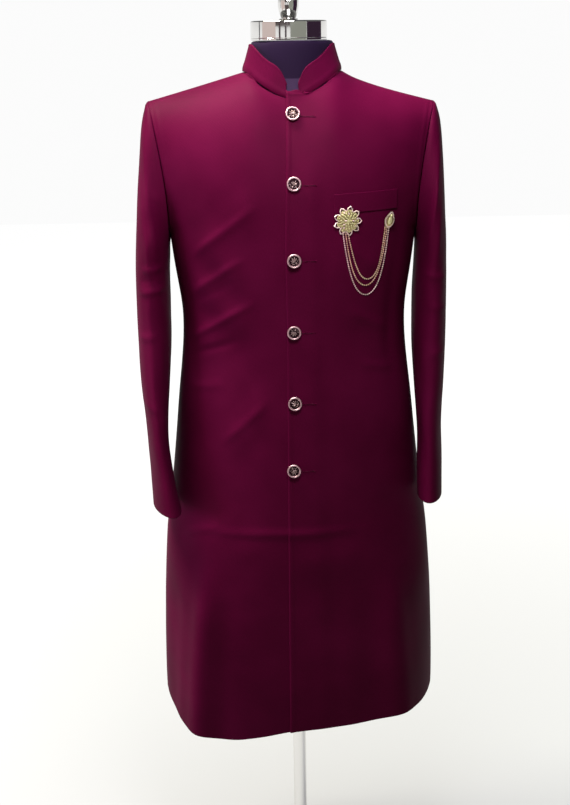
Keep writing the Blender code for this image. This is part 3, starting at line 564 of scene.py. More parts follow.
def gridNormals(fine, closed):
    if closed:
        padded = np.concatenate([fine[:, -1:], fine, fine[:, :1]], axis=1)
        across = (padded[:, 2:] - padded[:, :-2])
    else:
        across = np.gradient(fine, axis=1)
    along = np.gradient(fine, axis=0)
    normals = np.cross(across, along)
    return normals / np.linalg.norm(normals, axis=-1, keepdims=True)


# cloth
panelCell = 0.0045  # distance between the points of a finished panel
edgeRoll = 0.34  # share of the thickness by which a folded edge is rounded


def smoothStep(low, high, value):
    t = np.clip((np.asarray(value, float) - low) / (high - low), 0, 1)
    return t * t * (3 - 2 * t)


def softNoise(points, size, seed):
    offset = Vector((seed * 7.1, seed * 3.7, seed * 1.3))
    flat = points.reshape(-1, 3) / size
    values = np.array([noise.noise(Vector(p) + offset) for p in flat])
    return values.reshape(points.shape[:-1])


def clothMesh(name, fine, normals, thickness, upAt, acrossAt, closed, roll=edgeRoll):
    rows, columns = fine.shape[:2]
    outer, inner = fine.copy(), fine - normals * thickness
    borders = [(0, slice(None)), (-1, slice(None))]
    if not closed:
        borders += [(slice(1, -1), 0), (slice(1, -1), -1)]
    for border in borders:
        outer[border] -= normals[border] * thickness * roll
        inner[border] += normals[border] * thickness * roll
    verts = np.concatenate([outer.reshape(-1, 3), inner.reshape(-1, 3)])
    half = rows * columns
    faces, uvs = [], []
    span = columns if closed else columns - 1

    def uv(r, c):
        return (acrossAt[c] if c < columns else acrossAt[-1] + panelCell, upAt[r])

    for r in range(rows - 1):
        for c in range(span):
            k = (c + 1) % columns
            a, b, d, e = r * columns + c, r * columns + k, (r + 1) * columns + k, (r + 1) * columns + c
            faces.append((a, b, d, e))
            faces.append((half + e, half + d, half + b, half + a))
            corners = (uv(r, c), uv(r, c + 1), uv(r + 1, c + 1), uv(r + 1, c))
            uvs += corners
            uvs += corners[::-1]

    def rimFace(a, b, place):
        faces.append((b, a, half + a, half + b))
        uvs.extend([place] * 4)

    for c in range(span):
        k = (c + 1) % columns
        rimFace(c, k, uv(0, c))
        rimFace((rows - 1) * columns + k, (rows - 1) * columns + c, uv(rows - 1, c))
    if not closed:
        for r in range(rows - 1):
            rimFace((r + 1) * columns, r * columns, uv(r, 0))
            rimFace(r * columns + columns - 1, (r + 1) * columns + columns - 1, uv(r, columns - 1))
    mesh = bpy.data.meshes.new(name)
    mesh.from_pydata(verts.tolist(), [], faces)
    layer = mesh.uv_layers.new(name="weave")
    layer.data.foreach_set("uv", np.array(uvs, dtype=np.float32).ravel())
    return mesh


def ridge(start, end, width, rise, along, height):
    # one crease, as a soft ridge (or, with a negative rise, a trough) that fades at its ends
    run, up = end[0] - start[0], end[1] - start[1]
    length = math.hypot(run, up)
    share = ((along - start[0]) * run + (height - start[1]) * up) / length**2
    off = ((along - start[0]) * up - (height - start[1]) * run) / length
    fade = smoothStep(-0.15, 0.3, share) * smoothStep(1.15, 0.7, share)
    return rise * fade * np.exp(-((off / width) ** 2))


girthRadius = 0.19  # turns the degrees of the next table into metres of cloth
bodyCreases = (  # from: turn in degrees and height, to: the same, width, rise
    # wearer's right side, from the armhole down
    (-60, 1.270, -26, 1.345, 0.0075, 0.0030),
    (-64, 1.206, -34, 1.262, 0.0062, 0.0030),
    (-62, 1.192, -38, 1.228, 0.0060, -0.0014),
    (-68, 1.128, -30, 1.190, 0.0065, 0.0036),
    (-66, 1.100, -40, 1.128, 0.0060, -0.0020),
    (-46, 0.955, -20, 1.026, 0.0080, 0.0017),
    (-70, 1.040, -48, 1.052, 0.0070, 0.0012),
    # wearer's left side
    (54, 1.236, 30, 1.296, 0.0085, 0.0015),
    (62, 1.140, 36, 1.176, 0.0085, 0.0018),
    (66, 1.070, 44, 1.085, 0.0070, 0.0014),
    (63, 1.350, 64, 1.020, 0.0150, -0.0024),
    # across the hips
    (-50, 0.797, 34, 0.803, 0.0070, 0.0020),
    (-64, 0.784, -46, 0.806, 0.0070, 0.0016),
    # back
    (128, 1.135, 164, 1.170, 0.0080, 0.0024),
    (-126, 1.165, -160, 1.200, 0.0085, 0.0022),
    (134, 1.078, 172, 1.084, 0.0075, 0.0018),
    (-136, 1.060, -168, 1.075, 0.0075, 0.0016),
    (120, 1.360, 150, 1.420, 0.0110, 0.0014),
    (-118, 1.365, -148, 1.415, 0.0110, 0.0014),
    (150, 0.770, 176, 0.776, 0.0080, 0.0012),
)


def bodyShape(points, normals):
    along = np.arctan2(points[..., 0], -points[..., 1]) * girthRadius
    total = np.zeros(along.shape)
    for turnFrom, zFrom, turnTo, zTo, width, rise in bodyCreases:
        start, end = (math.radians(turn) * girthRadius for turn in (turnFrom, turnTo))
        total += ridge((start, zFrom), (end, zTo), width, rise, along, points[..., 2])
    return total + 0.0006 * softNoise(points, 0.11, 1) + 0.00025 * softNoise(points, 0.035, 2)


sleeveCreases = (  # facing: -1 front, 1 back, from: x and height, to: the same, width, rise
    (-1, -0.2270, 1.3640, -0.2010, 1.3400, 0.0055, 0.0022),
    (-1, -0.2500, 1.2403, -0.2160, 1.2440, 0.0048, 0.0024),
    (-1, -0.2560, 1.2031, -0.2080, 1.2100, 0.0055, 0.0026),
    (-1, -0.2560, 1.2220, -0.2260, 1.2260, 0.0050, -0.0014),
    (-1, -0.2620, 1.1250, -0.2280, 1.1330, 0.0065, 0.0014),
    (-1, -0.2640, 1.0180, -0.2300, 1.0050, 0.0070, 0.0012),
    (1, -0.2580, 1.1700, -0.2200, 1.1900, 0.0065, 0.0022),
    (1, -0.2600, 1.1250, -0.2220, 1.1330, 0.0060, 0.0020),
    (1, -0.2500, 1.3400, -0.2160, 1.3700, 0.0080, 0.0014),
    (-1, 0.2260, 1.3700, 0.2020, 1.3480, 0.0060, 0.0016),
    (-1, 0.2560, 1.2180, 0.2160, 1.2260, 0.0055, 0.0020),
    (-1, 0.2600, 1.1650, 0.2200, 1.1750, 0.0060, 0.0016),
    (-1, 0.2600, 1.1000, 0.2240, 1.0920, 0.0065, 0.0014),
    (1, 0.2560, 1.1850, 0.2180, 1.2000, 0.0065, 0.0020),
    (1, 0.2600, 1.1300, 0.2220, 1.1400, 0.0060, 0.0018),
    (1, 0.2500, 1.3350, 0.2160, 1.3680, 0.0080, 0.0014),
)


def sleeveShape(points, normals):
    total = 0.0007 * softNoise(points, 0.07, 5) + 0.0002 * softNoise(points, 0.03, 6)
    for facing, fromX, zFrom, toX, zTo, width, rise in sleeveCreases:
        seen = smoothStep(0.0, 0.5, normals[..., 1] * facing) * (points[..., 0] * fromX > 0)
        total += seen * ridge((fromX, zFrom), (toX, zTo), width, rise, points[..., 0], points[..., 2])
    return total


def relaxed(fine, above, times):
    # evens out the cloth over the shoulders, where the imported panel's rows are far apart
    fine = fine.copy()
    for _ in range(times):
        middle = fine[1:-1, 1:-1]
        around = (fine[:-2, 1:-1] + fine[2:, 1:-1] + fine[1:-1, :-2] + fine[1:-1, 2:]) / 4
        share = 0.5 * smoothStep(above, above + 0.08, middle[..., 2])[..., None]
        fine[1:-1, 1:-1] = middle + (around - middle) * share
    return fine


def edgeDistance(upAt, acrossAt, closed, sides):
    # distance of every point from the nearest of the named sides
    far = np.full((len(upAt), len(acrossAt)), 1.0)
    if "low" in sides:
        far = np.minimum(far, upAt[:, None])
    if "high" in sides:
        far = np.minimum(far, (upAt[-1] - upAt)[:, None])
    if not closed and "start" in sides:
        far = np.minimum(far, acrossAt[None, :])
    if not closed and "end" in sides:
        far = np.minimum(far, (acrossAt[-1] - acrossAt)[None, :])
    return far


seam = {"dip": 0.0008, "reach": 0.0042, "puff": 0.0006, "puffAt": 0.0075, "puffWidth": 0.0040,
        "sideReach": 0.0012, "sideGap": 0.15}  # side seams: what lies this close to y = 0 is drawn to it
edgeBead = {"rise": 0.0005, "at": 0.0022, "width": 0.0011}


def makePanel(name, node, spec, finish="wine"):
    closed = spec.get("closed", False)
    grid = outerGrid(node, spec["rows"], spec["columns"], spec["thickness"], closed)
    fine, upAt, acrossAt = fineGrid(grid, spec.get("cell", panelCell), closed)
    if "relax" in spec:
        fine = relaxed(fine, *spec["relax"])
    normals = gridNormals(fine, closed)
    lift = spec["shape"](fine, normals) if "shape" in spec else np.zeros(fine.shape[:2])
    away = edgeDistance(upAt, acrossAt, closed, spec.get("seams", ()))
    lift = lift * smoothStep(0, 0.02, away) - seam["dip"] * (1 - smoothStep(0, seam["reach"], away))
    lift += seam["puff"] * np.exp(-(((away - seam["puffAt"]) / seam["puffWidth"]) ** 2))
    if "bead" in spec:
        off = (edgeDistance(upAt, acrossAt, closed, spec["bead"]) - edgeBead["at"]) / edgeBead["width"]
        lift += spec.get("rise", edgeBead["rise"]) * np.exp(-(off**2))
    fine = fine + normals * lift[..., None]
    if spec.get("shape") is bodyShape:
        beside = np.abs(fine[..., 1]) < seam["sideReach"]
        fine[..., 1] = np.where(beside, fine[..., 1] * seam["sideGap"], fine[..., 1])
    if "fuller" in spec:
        inner = smoothStep(0.0, 1.0, normals @ np.array((0.62, -0.78, 0.0)))
        level = smoothStep(fuller["from"] - 0.07, fuller["from"], fine[..., 2])
        level *= smoothStep(fuller["to"], fuller["to"] - 0.05, fine[..., 2])
        fine[..., 1] -= fuller["by"] * inner * level
    normals = gridNormals(fine, closed)
    mesh = clothMesh(name, fine, normals, spec["thickness"], upAt, acrossAt, closed)
    return addObject(name, mesh, finish, "wine_suiting", node)


front = {"rows": 32, "columns": 16, "thickness": 0.002, "shape": bodyShape, "relax": (1.36, 60)}
sleeveSpec = {"rows": 18, "columns": 18, "thickness": 0.002, "shape": sleeveShape, "closed": True,
              "seams": ("high",)}
fuller = {"by": 0.0048, "from": 1.02, "to": 1.33}  # the right sleeve's front is flatter than its packed form
collarSpec = {"rows": 4, "columns": 29, "thickness": 0.003, "cell": 0.0016, "seams": ("low",),
              "bead": ("high", "start", "end")}
weltSpec = {"rows": 3, "columns": 7, "thickness": 0.0016, "cell": 0.002}

sheets = {
    "frontLeft": makePanel("frontLeft", "front_left", {**front, "seams": ("high", "end"), "bead": ("start",),
                                                     "rise": 0.0011}),
    "frontRight": makePanel("frontRight", "front_right", {**front, "seams": ("high", "start")}),
    "backPanel": makePanel("backPanel", "back", {**front, "columns": 29, "seams": ("high", "start", "end")}),
    "sleeveLeft": makePanel("sleeveLeft", "sleeve_left", sleeveSpec),
    "sleeveRight": makePanel("sleeveRight", "sleeve_right", {**sleeveSpec, "fuller": True}),
    "collarBand": makePanel("collarBand", "collar", collarSpec),
    "pocketWelt": makePanel("pocketWelt", "pocket_welt", weltSpec),
}
print("cloth made:", ", ".join(sheets))


# fastenings
def solidFrame(node, towards=(0, -1, 0)):
    # where a turned or flat piece sits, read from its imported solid: local Z is its axis, z = 0 its underside
    points = np.array([v.co for v in nodes[node].data.vertices])
    points = np.unique(points.round(6), axis=0)
    middle = (points.min(axis=0) + points.max(axis=0)) / 2
    axes = np.linalg.svd(points - points.mean(axis=0))[2]
    axis = Vector(axes[2])
    if axis.dot(Vector(towards)) < 0:
        axis = -axis
    heights = (points - middle) @ np.array(axis)
    side = Vector((0, 0, 1)).cross(axis).normalized()
    matrix = Matrix((side, axis.cross(side), axis)).transposed().to_4x4()
    foot = points[heights < heights.min() + 1e-4].mean(axis=0)
    matrix.translation = Vector(foot)
    return matrix, points


button = {
    "steps": 56,
    "face": 0.0085, "recess": 0.0047, "crest": 0.0068, "rim": 0.0115,
    "shankRadius": 0.0030,
    "beads": 36, "beadRing": 0.0079, "beadSize": 0.00032,
    "turns": {"button_1": 12, "button_2": -28, "button_3": 41,
              "button_4": 158, "button_5": 74, "button_6": 205},
}


def roundRim():
    # from the face's edge over the crest to the outer edge and back underneath
    face, recess, crest, rim = (button[k] for k in ("face", "recess", "crest", "rim"))
    profile = [(face, recess)]
    middle, half = (face + rim) / 2, (rim - face) / 2
    for i in range(13):
        angle = math.pi * (1 - i / 12)
        profile.append((middle + half * math.cos(angle), crest - 0.0018 + 0.0018 * math.sin(angle)))
    return profile + [(rim - 0.0002, 0.0042), (0.0104, 0.0033), (0.0060, 0.0027),
                      (button["shankRadius"], 0.0025), (button["shankRadius"], 0.0), (0.0, 0.0)]


def addLotus(shape, matrix, floor):
    # a raised lotus over two scrolls: petals fan out from the foot of the face
    matrix = matrix @ Matrix.Translation((0, 0.0008, 0)) @ Matrix.Diagonal((1.36, 1.30, 1, 1))
    for tilt, length, width in ((0, 0.0064, 0.0019), (-34, 0.0056, 0.0017), (34, 0.0056, 0.0017),
                                (-66, 0.0048, 0.0014), (66, 0.0048, 0.0014)):
        lean = Matrix.Rotation(math.radians(tilt), 4, "Z")
        foot = matrix @ Matrix.Translation((0, -0.0018, floor))
        petal = foot @ lean @ Matrix.Translation((0, length / 2, 0))
        addBall(shape, (0, 0, 0), 1.0, detail=3, material=2,
                stretch=petal @ Matrix.Diagonal((width / 2, length / 2, 0.0015, 1)))
    for side in (-1, 1):
        points = []
        for i in range(13):
            angle = math.radians(-60 + 300 * i / 12)
            radius = 0.0019 * (1 - 0.55 * i / 12)
            x, y = 0.0034 + radius * math.cos(angle), -0.0040 + radius * math.sin(angle)
            points.append(matrix @ Vector((side * x, y, floor + 0.0004)))
        addTube(shape, points, [0.00055 - 0.00002 * i for i in range(13)], sides=6, material=2)
    bud = matrix @ Matrix.Translation((0, -0.0044, floor)) @ Matrix.Diagonal((0.0013, 0.0016, 0.0012, 1))
    addBall(shape, (0, 0, 0), 1.0, detail=2, material=2, stretch=bud)


def makeButton(node):
    matrix = solidFrame(node)[0]

    def build(shape):
        turnProfile(shape, [(0.0, button["recess"]), (button["face"] * 0.5, button["recess"] + 0.0002),
                            (button["face"], button["recess"])], button["steps"], matrix, material=1)
        turnProfile(shape, roundRim(), button["steps"], matrix)
        turned = matrix @ Matrix.Rotation(math.radians(button["turns"][node]), 4, "Z")
        addLotus(shape, turned, button["recess"])
        # a fine beaded line inside the rim
        for i in range(button["beads"]):
            angle = 2 * math.pi * i / button["beads"]
            x, y = button["beadRing"] * math.cos(angle), button["beadRing"] * math.sin(angle)
            addBall(shape, matrix @ Vector((x, y, button["recess"] + 0.0001)), button["beadSize"], material=2)

    name = node.replace("button_", "shankButton")
    return addObject(name, meshFrom(name, build), ("rim", "recess", "relief"), "rose_silver", node)


buttons = [makeButton(node) for node in button["turns"]]
print("buttons made:", len(buttons))


def frontTree():
    shape = bmesh.new()
    shape.from_mesh(sheets["frontLeft"].data)
    tree = BVHTree.FromBMesh(shape)
    shape.free()
    return tree


leftFront = frontTree()


def onLeftFront(x, z, lift=0.0):
    # a point on the finished left front, seen from the front
    place, normal, _, _ = leftFront.ray_cast(Vector((x, -1.0, z)), Vector((0, 1, 0)))
    if normal.y > 0:
        normal = -normal
    return place + normal * lift, normal


buttonhole = {"from": 0.008, "to": 0.0345, "drop": 0.0025, "half": 0.0012, "stitchPitch": 0.0010,
              "thread": 0.00034, "barStitches": 5, "barHalf": 0.0015}


def makeButtonholes():
    def build(shape):
        for node in button["turns"]:
            middle = solidFrame(node)[0].translation - Vector((0, 0, buttonhole["drop"]))
            steps = round((buttonhole["to"] - buttonhole["from"]) / buttonhole["stitchPitch"])
            slitShadow = []
            for i in range(steps + 1):
                x = middle.x + buttonhole["from"] + buttonhole["stitchPitch"] * i
                slitShadow.append(onLeftFront(x, middle.z, 0.00005)[0])
                for side in (-1, 1):
                    inner, _ = onLeftFront(x, middle.z + side * 0.00028, 0.0003)
                    outer, _ = onLeftFront(x, middle.z + side * buttonhole["half"], 0.0001)
                    high = (inner + outer) / 2 + Vector((0, -0.0002, 0))
                    addTube(shape, [inner, high, outer], buttonhole["thread"], sides=5)
            # a near-black tube along the cut: painted shadow inside the slit
            addTube(shape, slitShadow, 0.00026, sides=5, material=1)
            # bar of stitches across the far end
            for i in range(buttonhole["barStitches"]):
                x = middle.x + buttonhole["to"] + 0.0004 * i
                ends = [onLeftFront(x, middle.z + side * buttonhole["barHalf"], 0.0003)[0]
                        for side in (-1, 1)]
                addTube(shape, ends, buttonhole["thread"], sides=5)

    return addObject("buttonholes", meshFrom("buttonholes", build), ("wineThread", "slitShadow"), "wine_suiting")


buttonholes = makeButtonholes()


# brooch
brooch = {"petals": 9, "tips": 0.0240, "notches": 0.0165, "plate": 0.0013, "disc": 0.0168, "rim": 0.00085,
          "rows": (  # radius on the dome, count, stone half width, half length, height, lean of the stones
              (0.0046, 7, 0.00120, 0.00240, 0.0014, 22), (0.0085, 12, 0.00125, 0.00230, 0.0013, -18),
              (0.0121, 17, 0.00115, 0.00190, 0.0012, 16), (0.0151, 24, 0.00095, 0.00140, 0.0010, -14))}


def addGem(shape, matrix, halfWidth, halfLength, height, sides=8, material=0):
    # a cut stone: girdle, crown and table
    rings = []
    for scale, level in ((1.0, 0.0), (1.0, 0.35), (0.58, 1.0)):
        angles = (2 * math.pi * (k + 0.5) / sides for k in range(sides))
        rings.append([shape.verts.new(matrix @ Vector((halfWidth * scale * math.cos(a),
                                                       halfLength * scale * math.sin(a), height * level)))
                      for a in angles])
    for low, high in zip(rings, rings[1:]):
        for k in range(sides):
            m = (k + 1) % sides
            shape.faces.new((low[k], low[m], high[m], high[k])).material_index = material
    shape.faces.new(rings[-1]).material_index = material


def domeHeight(radius):
    return 0.0016 + 0.0034 * math.sqrt(max(0.0, 1 - (radius / brooch["disc"]) ** 2))


def flowerFrame():
    # the flower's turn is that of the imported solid's farthest tip
    matrix, points = solidFrame("brooch_flower")
    local = [matrix.inverted() @ Vector(p) for p in points]
    tip = max(local, key=lambda p: p.x**2 + p.y**2)
    middle = sum(local, Vector()) / len(local)
    turn = math.atan2(tip.y - middle.y, tip.x - middle.x)
    return matrix @ Matrix.Translation((middle.x, middle.y, 0)), turn


def makeFlower():
    matrix, turn = flowerFrame()
    petals, tips, notches = brooch["petals"], brooch["tips"], brooch["notches"]

    def flat(radius, angle, level=0.0):
        return Vector((radius * math.cos(angle), radius * math.sin(angle), level))

    def buildPetals(shape):
        half = math.pi / petals
        for i in range(petals):
            # a pointed petal, open between its rim and the disc
            angle = turn + 2 * half * i
            foot, waist, tip = notches - 0.0004, (notches + tips) / 2, tips - brooch["rim"]
            corners = [flat(radius, angle + half * lean) for radius, lean in
                       ((foot, -0.84), (waist, -0.50), (tip, 0.0), (waist, 0.50), (foot, 0.84))]
            rail = [matrix @ (c + Vector((0, 0, 0.0008))) for c in corners]
            addTube(shape, rail, brooch["rim"], sides=6, material=1)
            for a, b in zip(corners, corners[1:]):
                count = max(2, round((b - a).length / 0.0019))
                for k in range(count):
                    place = a.lerp(b, (k + 0.5) / count) + Vector((0, 0, 0.0012))
                    seat = matrix @ Matrix.Translation(place)
                    addGem(shape, seat, 0.0009, 0.0009, 0.0008, sides=6, material=1)
            for lean in (-0.40, 0.0, 0.40):
                root = flat(notches + 0.0011 - 0.001 * abs(lean), angle + half * lean, 0.0006)
                seat = matrix @ Matrix.Translation(root)
                addGem(shape, seat, 0.0013, 0.0013, 0.0011, sides=7, material=2)
        turnProfile(shape, [(0.0, brooch["plate"]), (brooch["disc"] - 0.0006, brooch["plate"]),
                            (brooch["disc"], brooch["plate"] - 0.0005), (brooch["disc"], 0.0), (0.0, 0.0)],
                    48, matrix)

    flower = addObject("broochFlower", meshFrom("broochFlower", buildPetals, sharp=30),
                       ("gold", "roseStone", "goldStone"), "pale_gold", "brooch_flower", smooth=False)

    def buildDome(shape):
        profile = [(brooch["disc"] * 0.94 * i / 10, domeHeight(brooch["disc"] * 0.94 * i / 10) - 0.0006)
                   for i in range(11)]
        turnProfile(shape, profile + [(brooch["disc"] * 0.94, 0.0016), (0.0, 0.0016)], 40, matrix)
        for ring, (radius, count, halfWidth, halfLength, height, lean) in enumerate(brooch["rows"]):
            for i in range(count):
                angle = turn + 2 * math.pi * (i + 0.5 * ring) / count
                slope = math.atan2(domeHeight(radius) - domeHeight(radius + 0.001), 0.001)
                seat = (matrix @ Matrix.Translation(flat(radius, angle, domeHeight(radius) - 0.0004))
                        @ Matrix.Rotation(angle - math.pi / 2, 4, "Z") @ Matrix.Rotation(-slope, 4, "X")
                        @ Matrix.Rotation(math.radians(lean), 4, "Z"))
                addGem(shape, seat, halfWidth, halfLength, height, material=1 + (i * 5 + ring) % 7 // 6)
        middle = matrix @ Matrix.Translation((0, 0, domeHeight(0) - 0.0005))
        addGem(shape, middle, 0.0026, 0.0026, 0.0016, sides=10, material=1)
        for i in range(14):
            bead = middle @ flat(0.0031, 2 * math.pi * i / 14, 0.0002)
            addBall(shape, bead, 0.00045, detail=1)

    dome = addObject("broochRosette", meshFrom("broochRosette", buildDome, sharp=30),
                     ("gold", "goldStone", "roseStone"), "pale_gold", "brooch_rosette", smooth=False)
    return flower, dome


drop = {"half": 0.0095, "length": 0.01375, "steps": 40, "stones": 30,
        "levels": ((1.0, 0.0), (1.0, 0.0010), (0.93, 0.0015), (0.62, 0.0022), (0.30, 0.0026))}


def dropFrame():
    matrix, points = solidFrame("brooch_drop")
    local = np.array([matrix.inverted() @ Vector(p) for p in points])
    middle = (local.min(axis=0) + local.max(axis=0)) / 2
    flat = local[:, :2] - middle[:2]
    along = np.linalg.svd(flat)[2][0]
    along = along if along[1] > 0 else -along
    turn = math.atan2(along[1], along[0]) - math.pi / 2
    return (matrix @ Matrix.Translation((float(middle[0]), float(middle[1]), 0))
            @ Matrix.Rotation(turn, 4, "Z"))


def dropOutline(share, scale=1.0):
    # a leaf, round below and pointed above
    angle = 2 * math.pi * share
    half, length = drop["half"] * scale, drop["length"] * scale
    pinch = math.cos(angle / 2) ** 2 if math.cos(angle) > 0 else 0.5
    width = half * math.sin(angle) * (1 if math.cos(angle) < 0 else 1.5 - pinch)
    return Vector((width, length * math.cos(angle), 0))


def makeDrop():
    matrix = dropFrame()

    def build(shape):
        steps = drop["steps"]
        plate = [[shape.verts.new(matrix @ (dropOutline(i / steps, scale) + Vector((0, 0, level))))
                  for i in range(steps)] for scale, level in drop["levels"]]
        for low, high in zip(plate, plate[1:]):
            for i in range(steps):
                k = (i + 1) % steps
                shape.faces.new((low[i], high[i], high[k], low[k]))
        shape.faces.new(plate[-1][::-1])
        shape.faces.new(plate[0])
        for i in range(drop["stones"]):
            place = dropOutline((i + 0.5) / drop["stones"], 0.88) + Vector((0, 0, 0.0014))
            addGem(shape, matrix @ Matrix.Translation(place), 0.0011, 0.0011, 0.0010, sides=6, material=1)
        pear = matrix @ Matrix.Translation((0, -0.0016, 0.0021))
        addGem(shape, pear, 0.0042, 0.0062, 0.0022, sides=12, material=2)
        addGem(shape, matrix @ Matrix.Translation((0, 0.0062, 0.0021)), 0.0018, 0.0026, 0.0014, material=2)
        # three rings that take the chains
        for side in (-1, 0, 1):
            centre = Vector((side * 0.0024, -0.0128 + 0.0005 * abs(side), 0.0006))
            ring = [matrix @ (centre + Vector((0.0011 * math.cos(a), 0.0011 * math.sin(a), 0)))
                    for a in (2 * math.pi * k / 12 for k in range(12))]
            addTube(shape, ring, 0.00032, sides=5, closed=True)

    return addObject("broochDrop", meshFrom("broochDrop", build, sharp=30),
                     ("gold", "roseStone", "goldStone"), "pale_gold", "brooch_drop", smooth=False)


makeFlower()
makeDrop()
print("brooch set")


# dress form and stand
form = {  # the neck is grown to fill the collar, and the shoulders lie lower, clear of the cloth
    "neckMiddle": 0.0032, "neckGrown": 0.10, "from": 1.562, "to": 1.590,
    "lowered": 0.0035, "lowFrom": 1.46, "lowTo": 1.562,
}


def makeForm():
    shape = bmesh.new()
    shape.from_mesh(nodes["form_body"].data)
    bmesh.ops.remove_doubles(shape, verts=shape.verts, dist=1e-5)
    bmesh.ops.join_triangles(shape, faces=shape.faces, angle_face_threshold=math.radians(60),
                             angle_shape_threshold=math.pi)
    middle, grown, fromZ, toZ = (form[k] for k in ("neckMiddle", "neckGrown", "from", "to"))
    for vert in shape.verts:
        share = float(smoothStep(fromZ, toZ, vert.co.z))
        vert.co.x += (vert.co.x - middle) * grown * share
        shoulder = smoothStep(form["lowFrom"], form["lowFrom"] + 0.03, vert.co.z)
        shoulder *= smoothStep(form["lowTo"], form["lowTo"] - 0.02, vert.co.z)
        vert.co.z -= form["lowered"] * float(shoulder)
    crease = shape.edges.layers.float.new("crease_edge")
    for edge in shape.edges:
        if edge.calc_face_angle(0) > math.radians(50):
            edge[crease] = 0.75
    mesh = bpy.data.meshes.new("formTorso")
    shape.to_mesh(mesh)
    shape.free()
    piece = addObject("formTorso", mesh, "jersey", "ink_jersey", "form_body")
    rounding = piece.modifiers.new("rounding", "SUBSURF")
    rounding.levels = rounding.render_levels = 2
    return piece


def turnedPiece(name, node, profile, finish, slotName, steps=72, sharp=30):
    low, high = (Vector(c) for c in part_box(node))
    matrix = Matrix.Translation(((low.x + high.x) / 2, (low.y + high.y) / 2, low.z))
    mesh = meshFrom(name, lambda shape: turnProfile(shape, profile, steps, matrix), sharp=sharp)
    return addObject(name, mesh, finish, slotName, node, smooth=False)


def arc(middle, radius, start, end, steps=6):
    # points of a rounded edge in a profile, in degrees, 0 outwards and 90 up
    angles = (math.radians(start + (end - start) * i / steps) for i in range(steps + 1))
    return [(middle[0] + radius * math.cos(a), middle[1] + radius * math.sin(a)) for a in angles]


cap = {"radius": 0.0620, "height": 0.030, "edge": 0.0022, "lip": 0.0008}
pole = {"radius": 0.0125, "collarHeight": 0.022}
base = {"radius": 0.190, "height": 0.014, "hub": 0.030, "hubHeight": 0.044}


def makeStand():
    radius, height, edge = cap["radius"], cap["height"], cap["edge"]
    capProfile = ([(0.0, height), (radius - edge - 0.004, height)]
                  + arc((radius - edge, height - edge), edge, 90, 0)
                  + [(radius, 0.0040), (radius - 0.0004, 0.0034), (radius, 0.0028)]
                  + arc((radius - cap["lip"], cap["lip"]), cap["lip"], 0, -90, 3) + [(0.0, 0.0)])
    turnedPiece("neckCap", "neck_cap", capProfile, "chrome", "chrome", steps=128)
    knobProfile = ([(0.0, 0.0500), (0.0040, 0.0496), (0.0080, 0.0480), (0.0115, 0.0450), (0.0145, 0.0400),
                    (0.0163, 0.0340), (0.0171, 0.0280), (0.0168, 0.0220), (0.0156, 0.0150), (0.0138, 0.0085),
                    (0.0124, 0.0045), (0.0119, 0.0030)]
                   + arc((0.0147, 0.0018), 0.0008, 90, -90, 4) + [(0.0150, 0.0), (0.0, 0.0)])
    turnedPiece("capKnob", "finial", knobProfile, "chrome", "chrome", steps=64)
    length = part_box("pole")[1][2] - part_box("pole")[0][2]
    radius, wide, tall = pole["radius"], pole["radius"] * 0.985, pole["collarHeight"]
    poleProfile = [(0.0, length), (radius - 0.001, length), (radius, length - 0.001),
                   (radius, length - tall), (wide, length - tall - 0.0008), (wide, tall + 0.0008),
                   (radius, tall), (radius, 0.0), (0.0, 0.0)]
    turnedPiece("standPole", "pole", poleProfile, "chrome", "chrome", steps=56)
    rim, thick = base["radius"], base["height"]
    baseProfile = ([(0.0, base["hubHeight"]), (0.0245, base["hubHeight"])]
                   + arc((0.0255, base["hubHeight"] - 0.0035), 0.0035, 80, 0)
                   + [(base["hub"], 0.034), (0.0318, 0.022), (0.0360, 0.0175), (0.0440, 0.0152),
                      (0.0600, thick), (rim - 0.012, thick - 0.0034)]
                   + arc((rim - 0.0050, thick - 0.0090), 0.0050, 80, 0, 5) + [(rim, 0.0), (0.0, 0.0)])
    turnedPiece("standBase", "base", baseProfile, "iron", "black_iron", steps=128)


makeForm()
makeStand()
print("form and stand made")


# a white room: the floor glows a little, so it stays pale however the lamps fall off over it
studio = {"floor": 9.0, "floorColour": (0.24, 0.24, 0.24), "glowNear": 0.30, "glowFar": 0.95,
          "glowReach": 3.2, "under": 0.12, "low": 0.97, "high": 0.08, "darkUpTo": 0.28, "whiteFrom": 0.33,
          "fadeFrom": 0.03, "fadeTo": 0.40}
cards = {  # stand round the front of the room: from and to in degrees, low and high edge, glow
    "leftLine": (-100, -96, 1.0, 2.4, (0.04, 0.03, 0.04)),
    "leftCard": (-86, -40, 0.6, 2.4, (0.70, 0.58, 0.55)),
    "firstLine": (-30, -25, 1.0, 2.4, (0.05, 0.03, 0.04)),
    "secondLine": (-12, -7, 1.0, 2.4, (0.06, 0.04, 0.05)),
    "frontLow": (-40, 4, 0.0, 1.25, (0.10, 0.08, 0.08)),
    "frontHigh": (-40, 4, 1.95, 2.8, (0.10, 0.08, 0.08)),
    "middleCard": (4, 53, 0.0, 2.4, (0.30, 0.31, 0.27)),
    "rightCard": (54, 112, 0.0, 2.4, (0.035, 0.018, 0.035)),
}
cardReach = 3.4
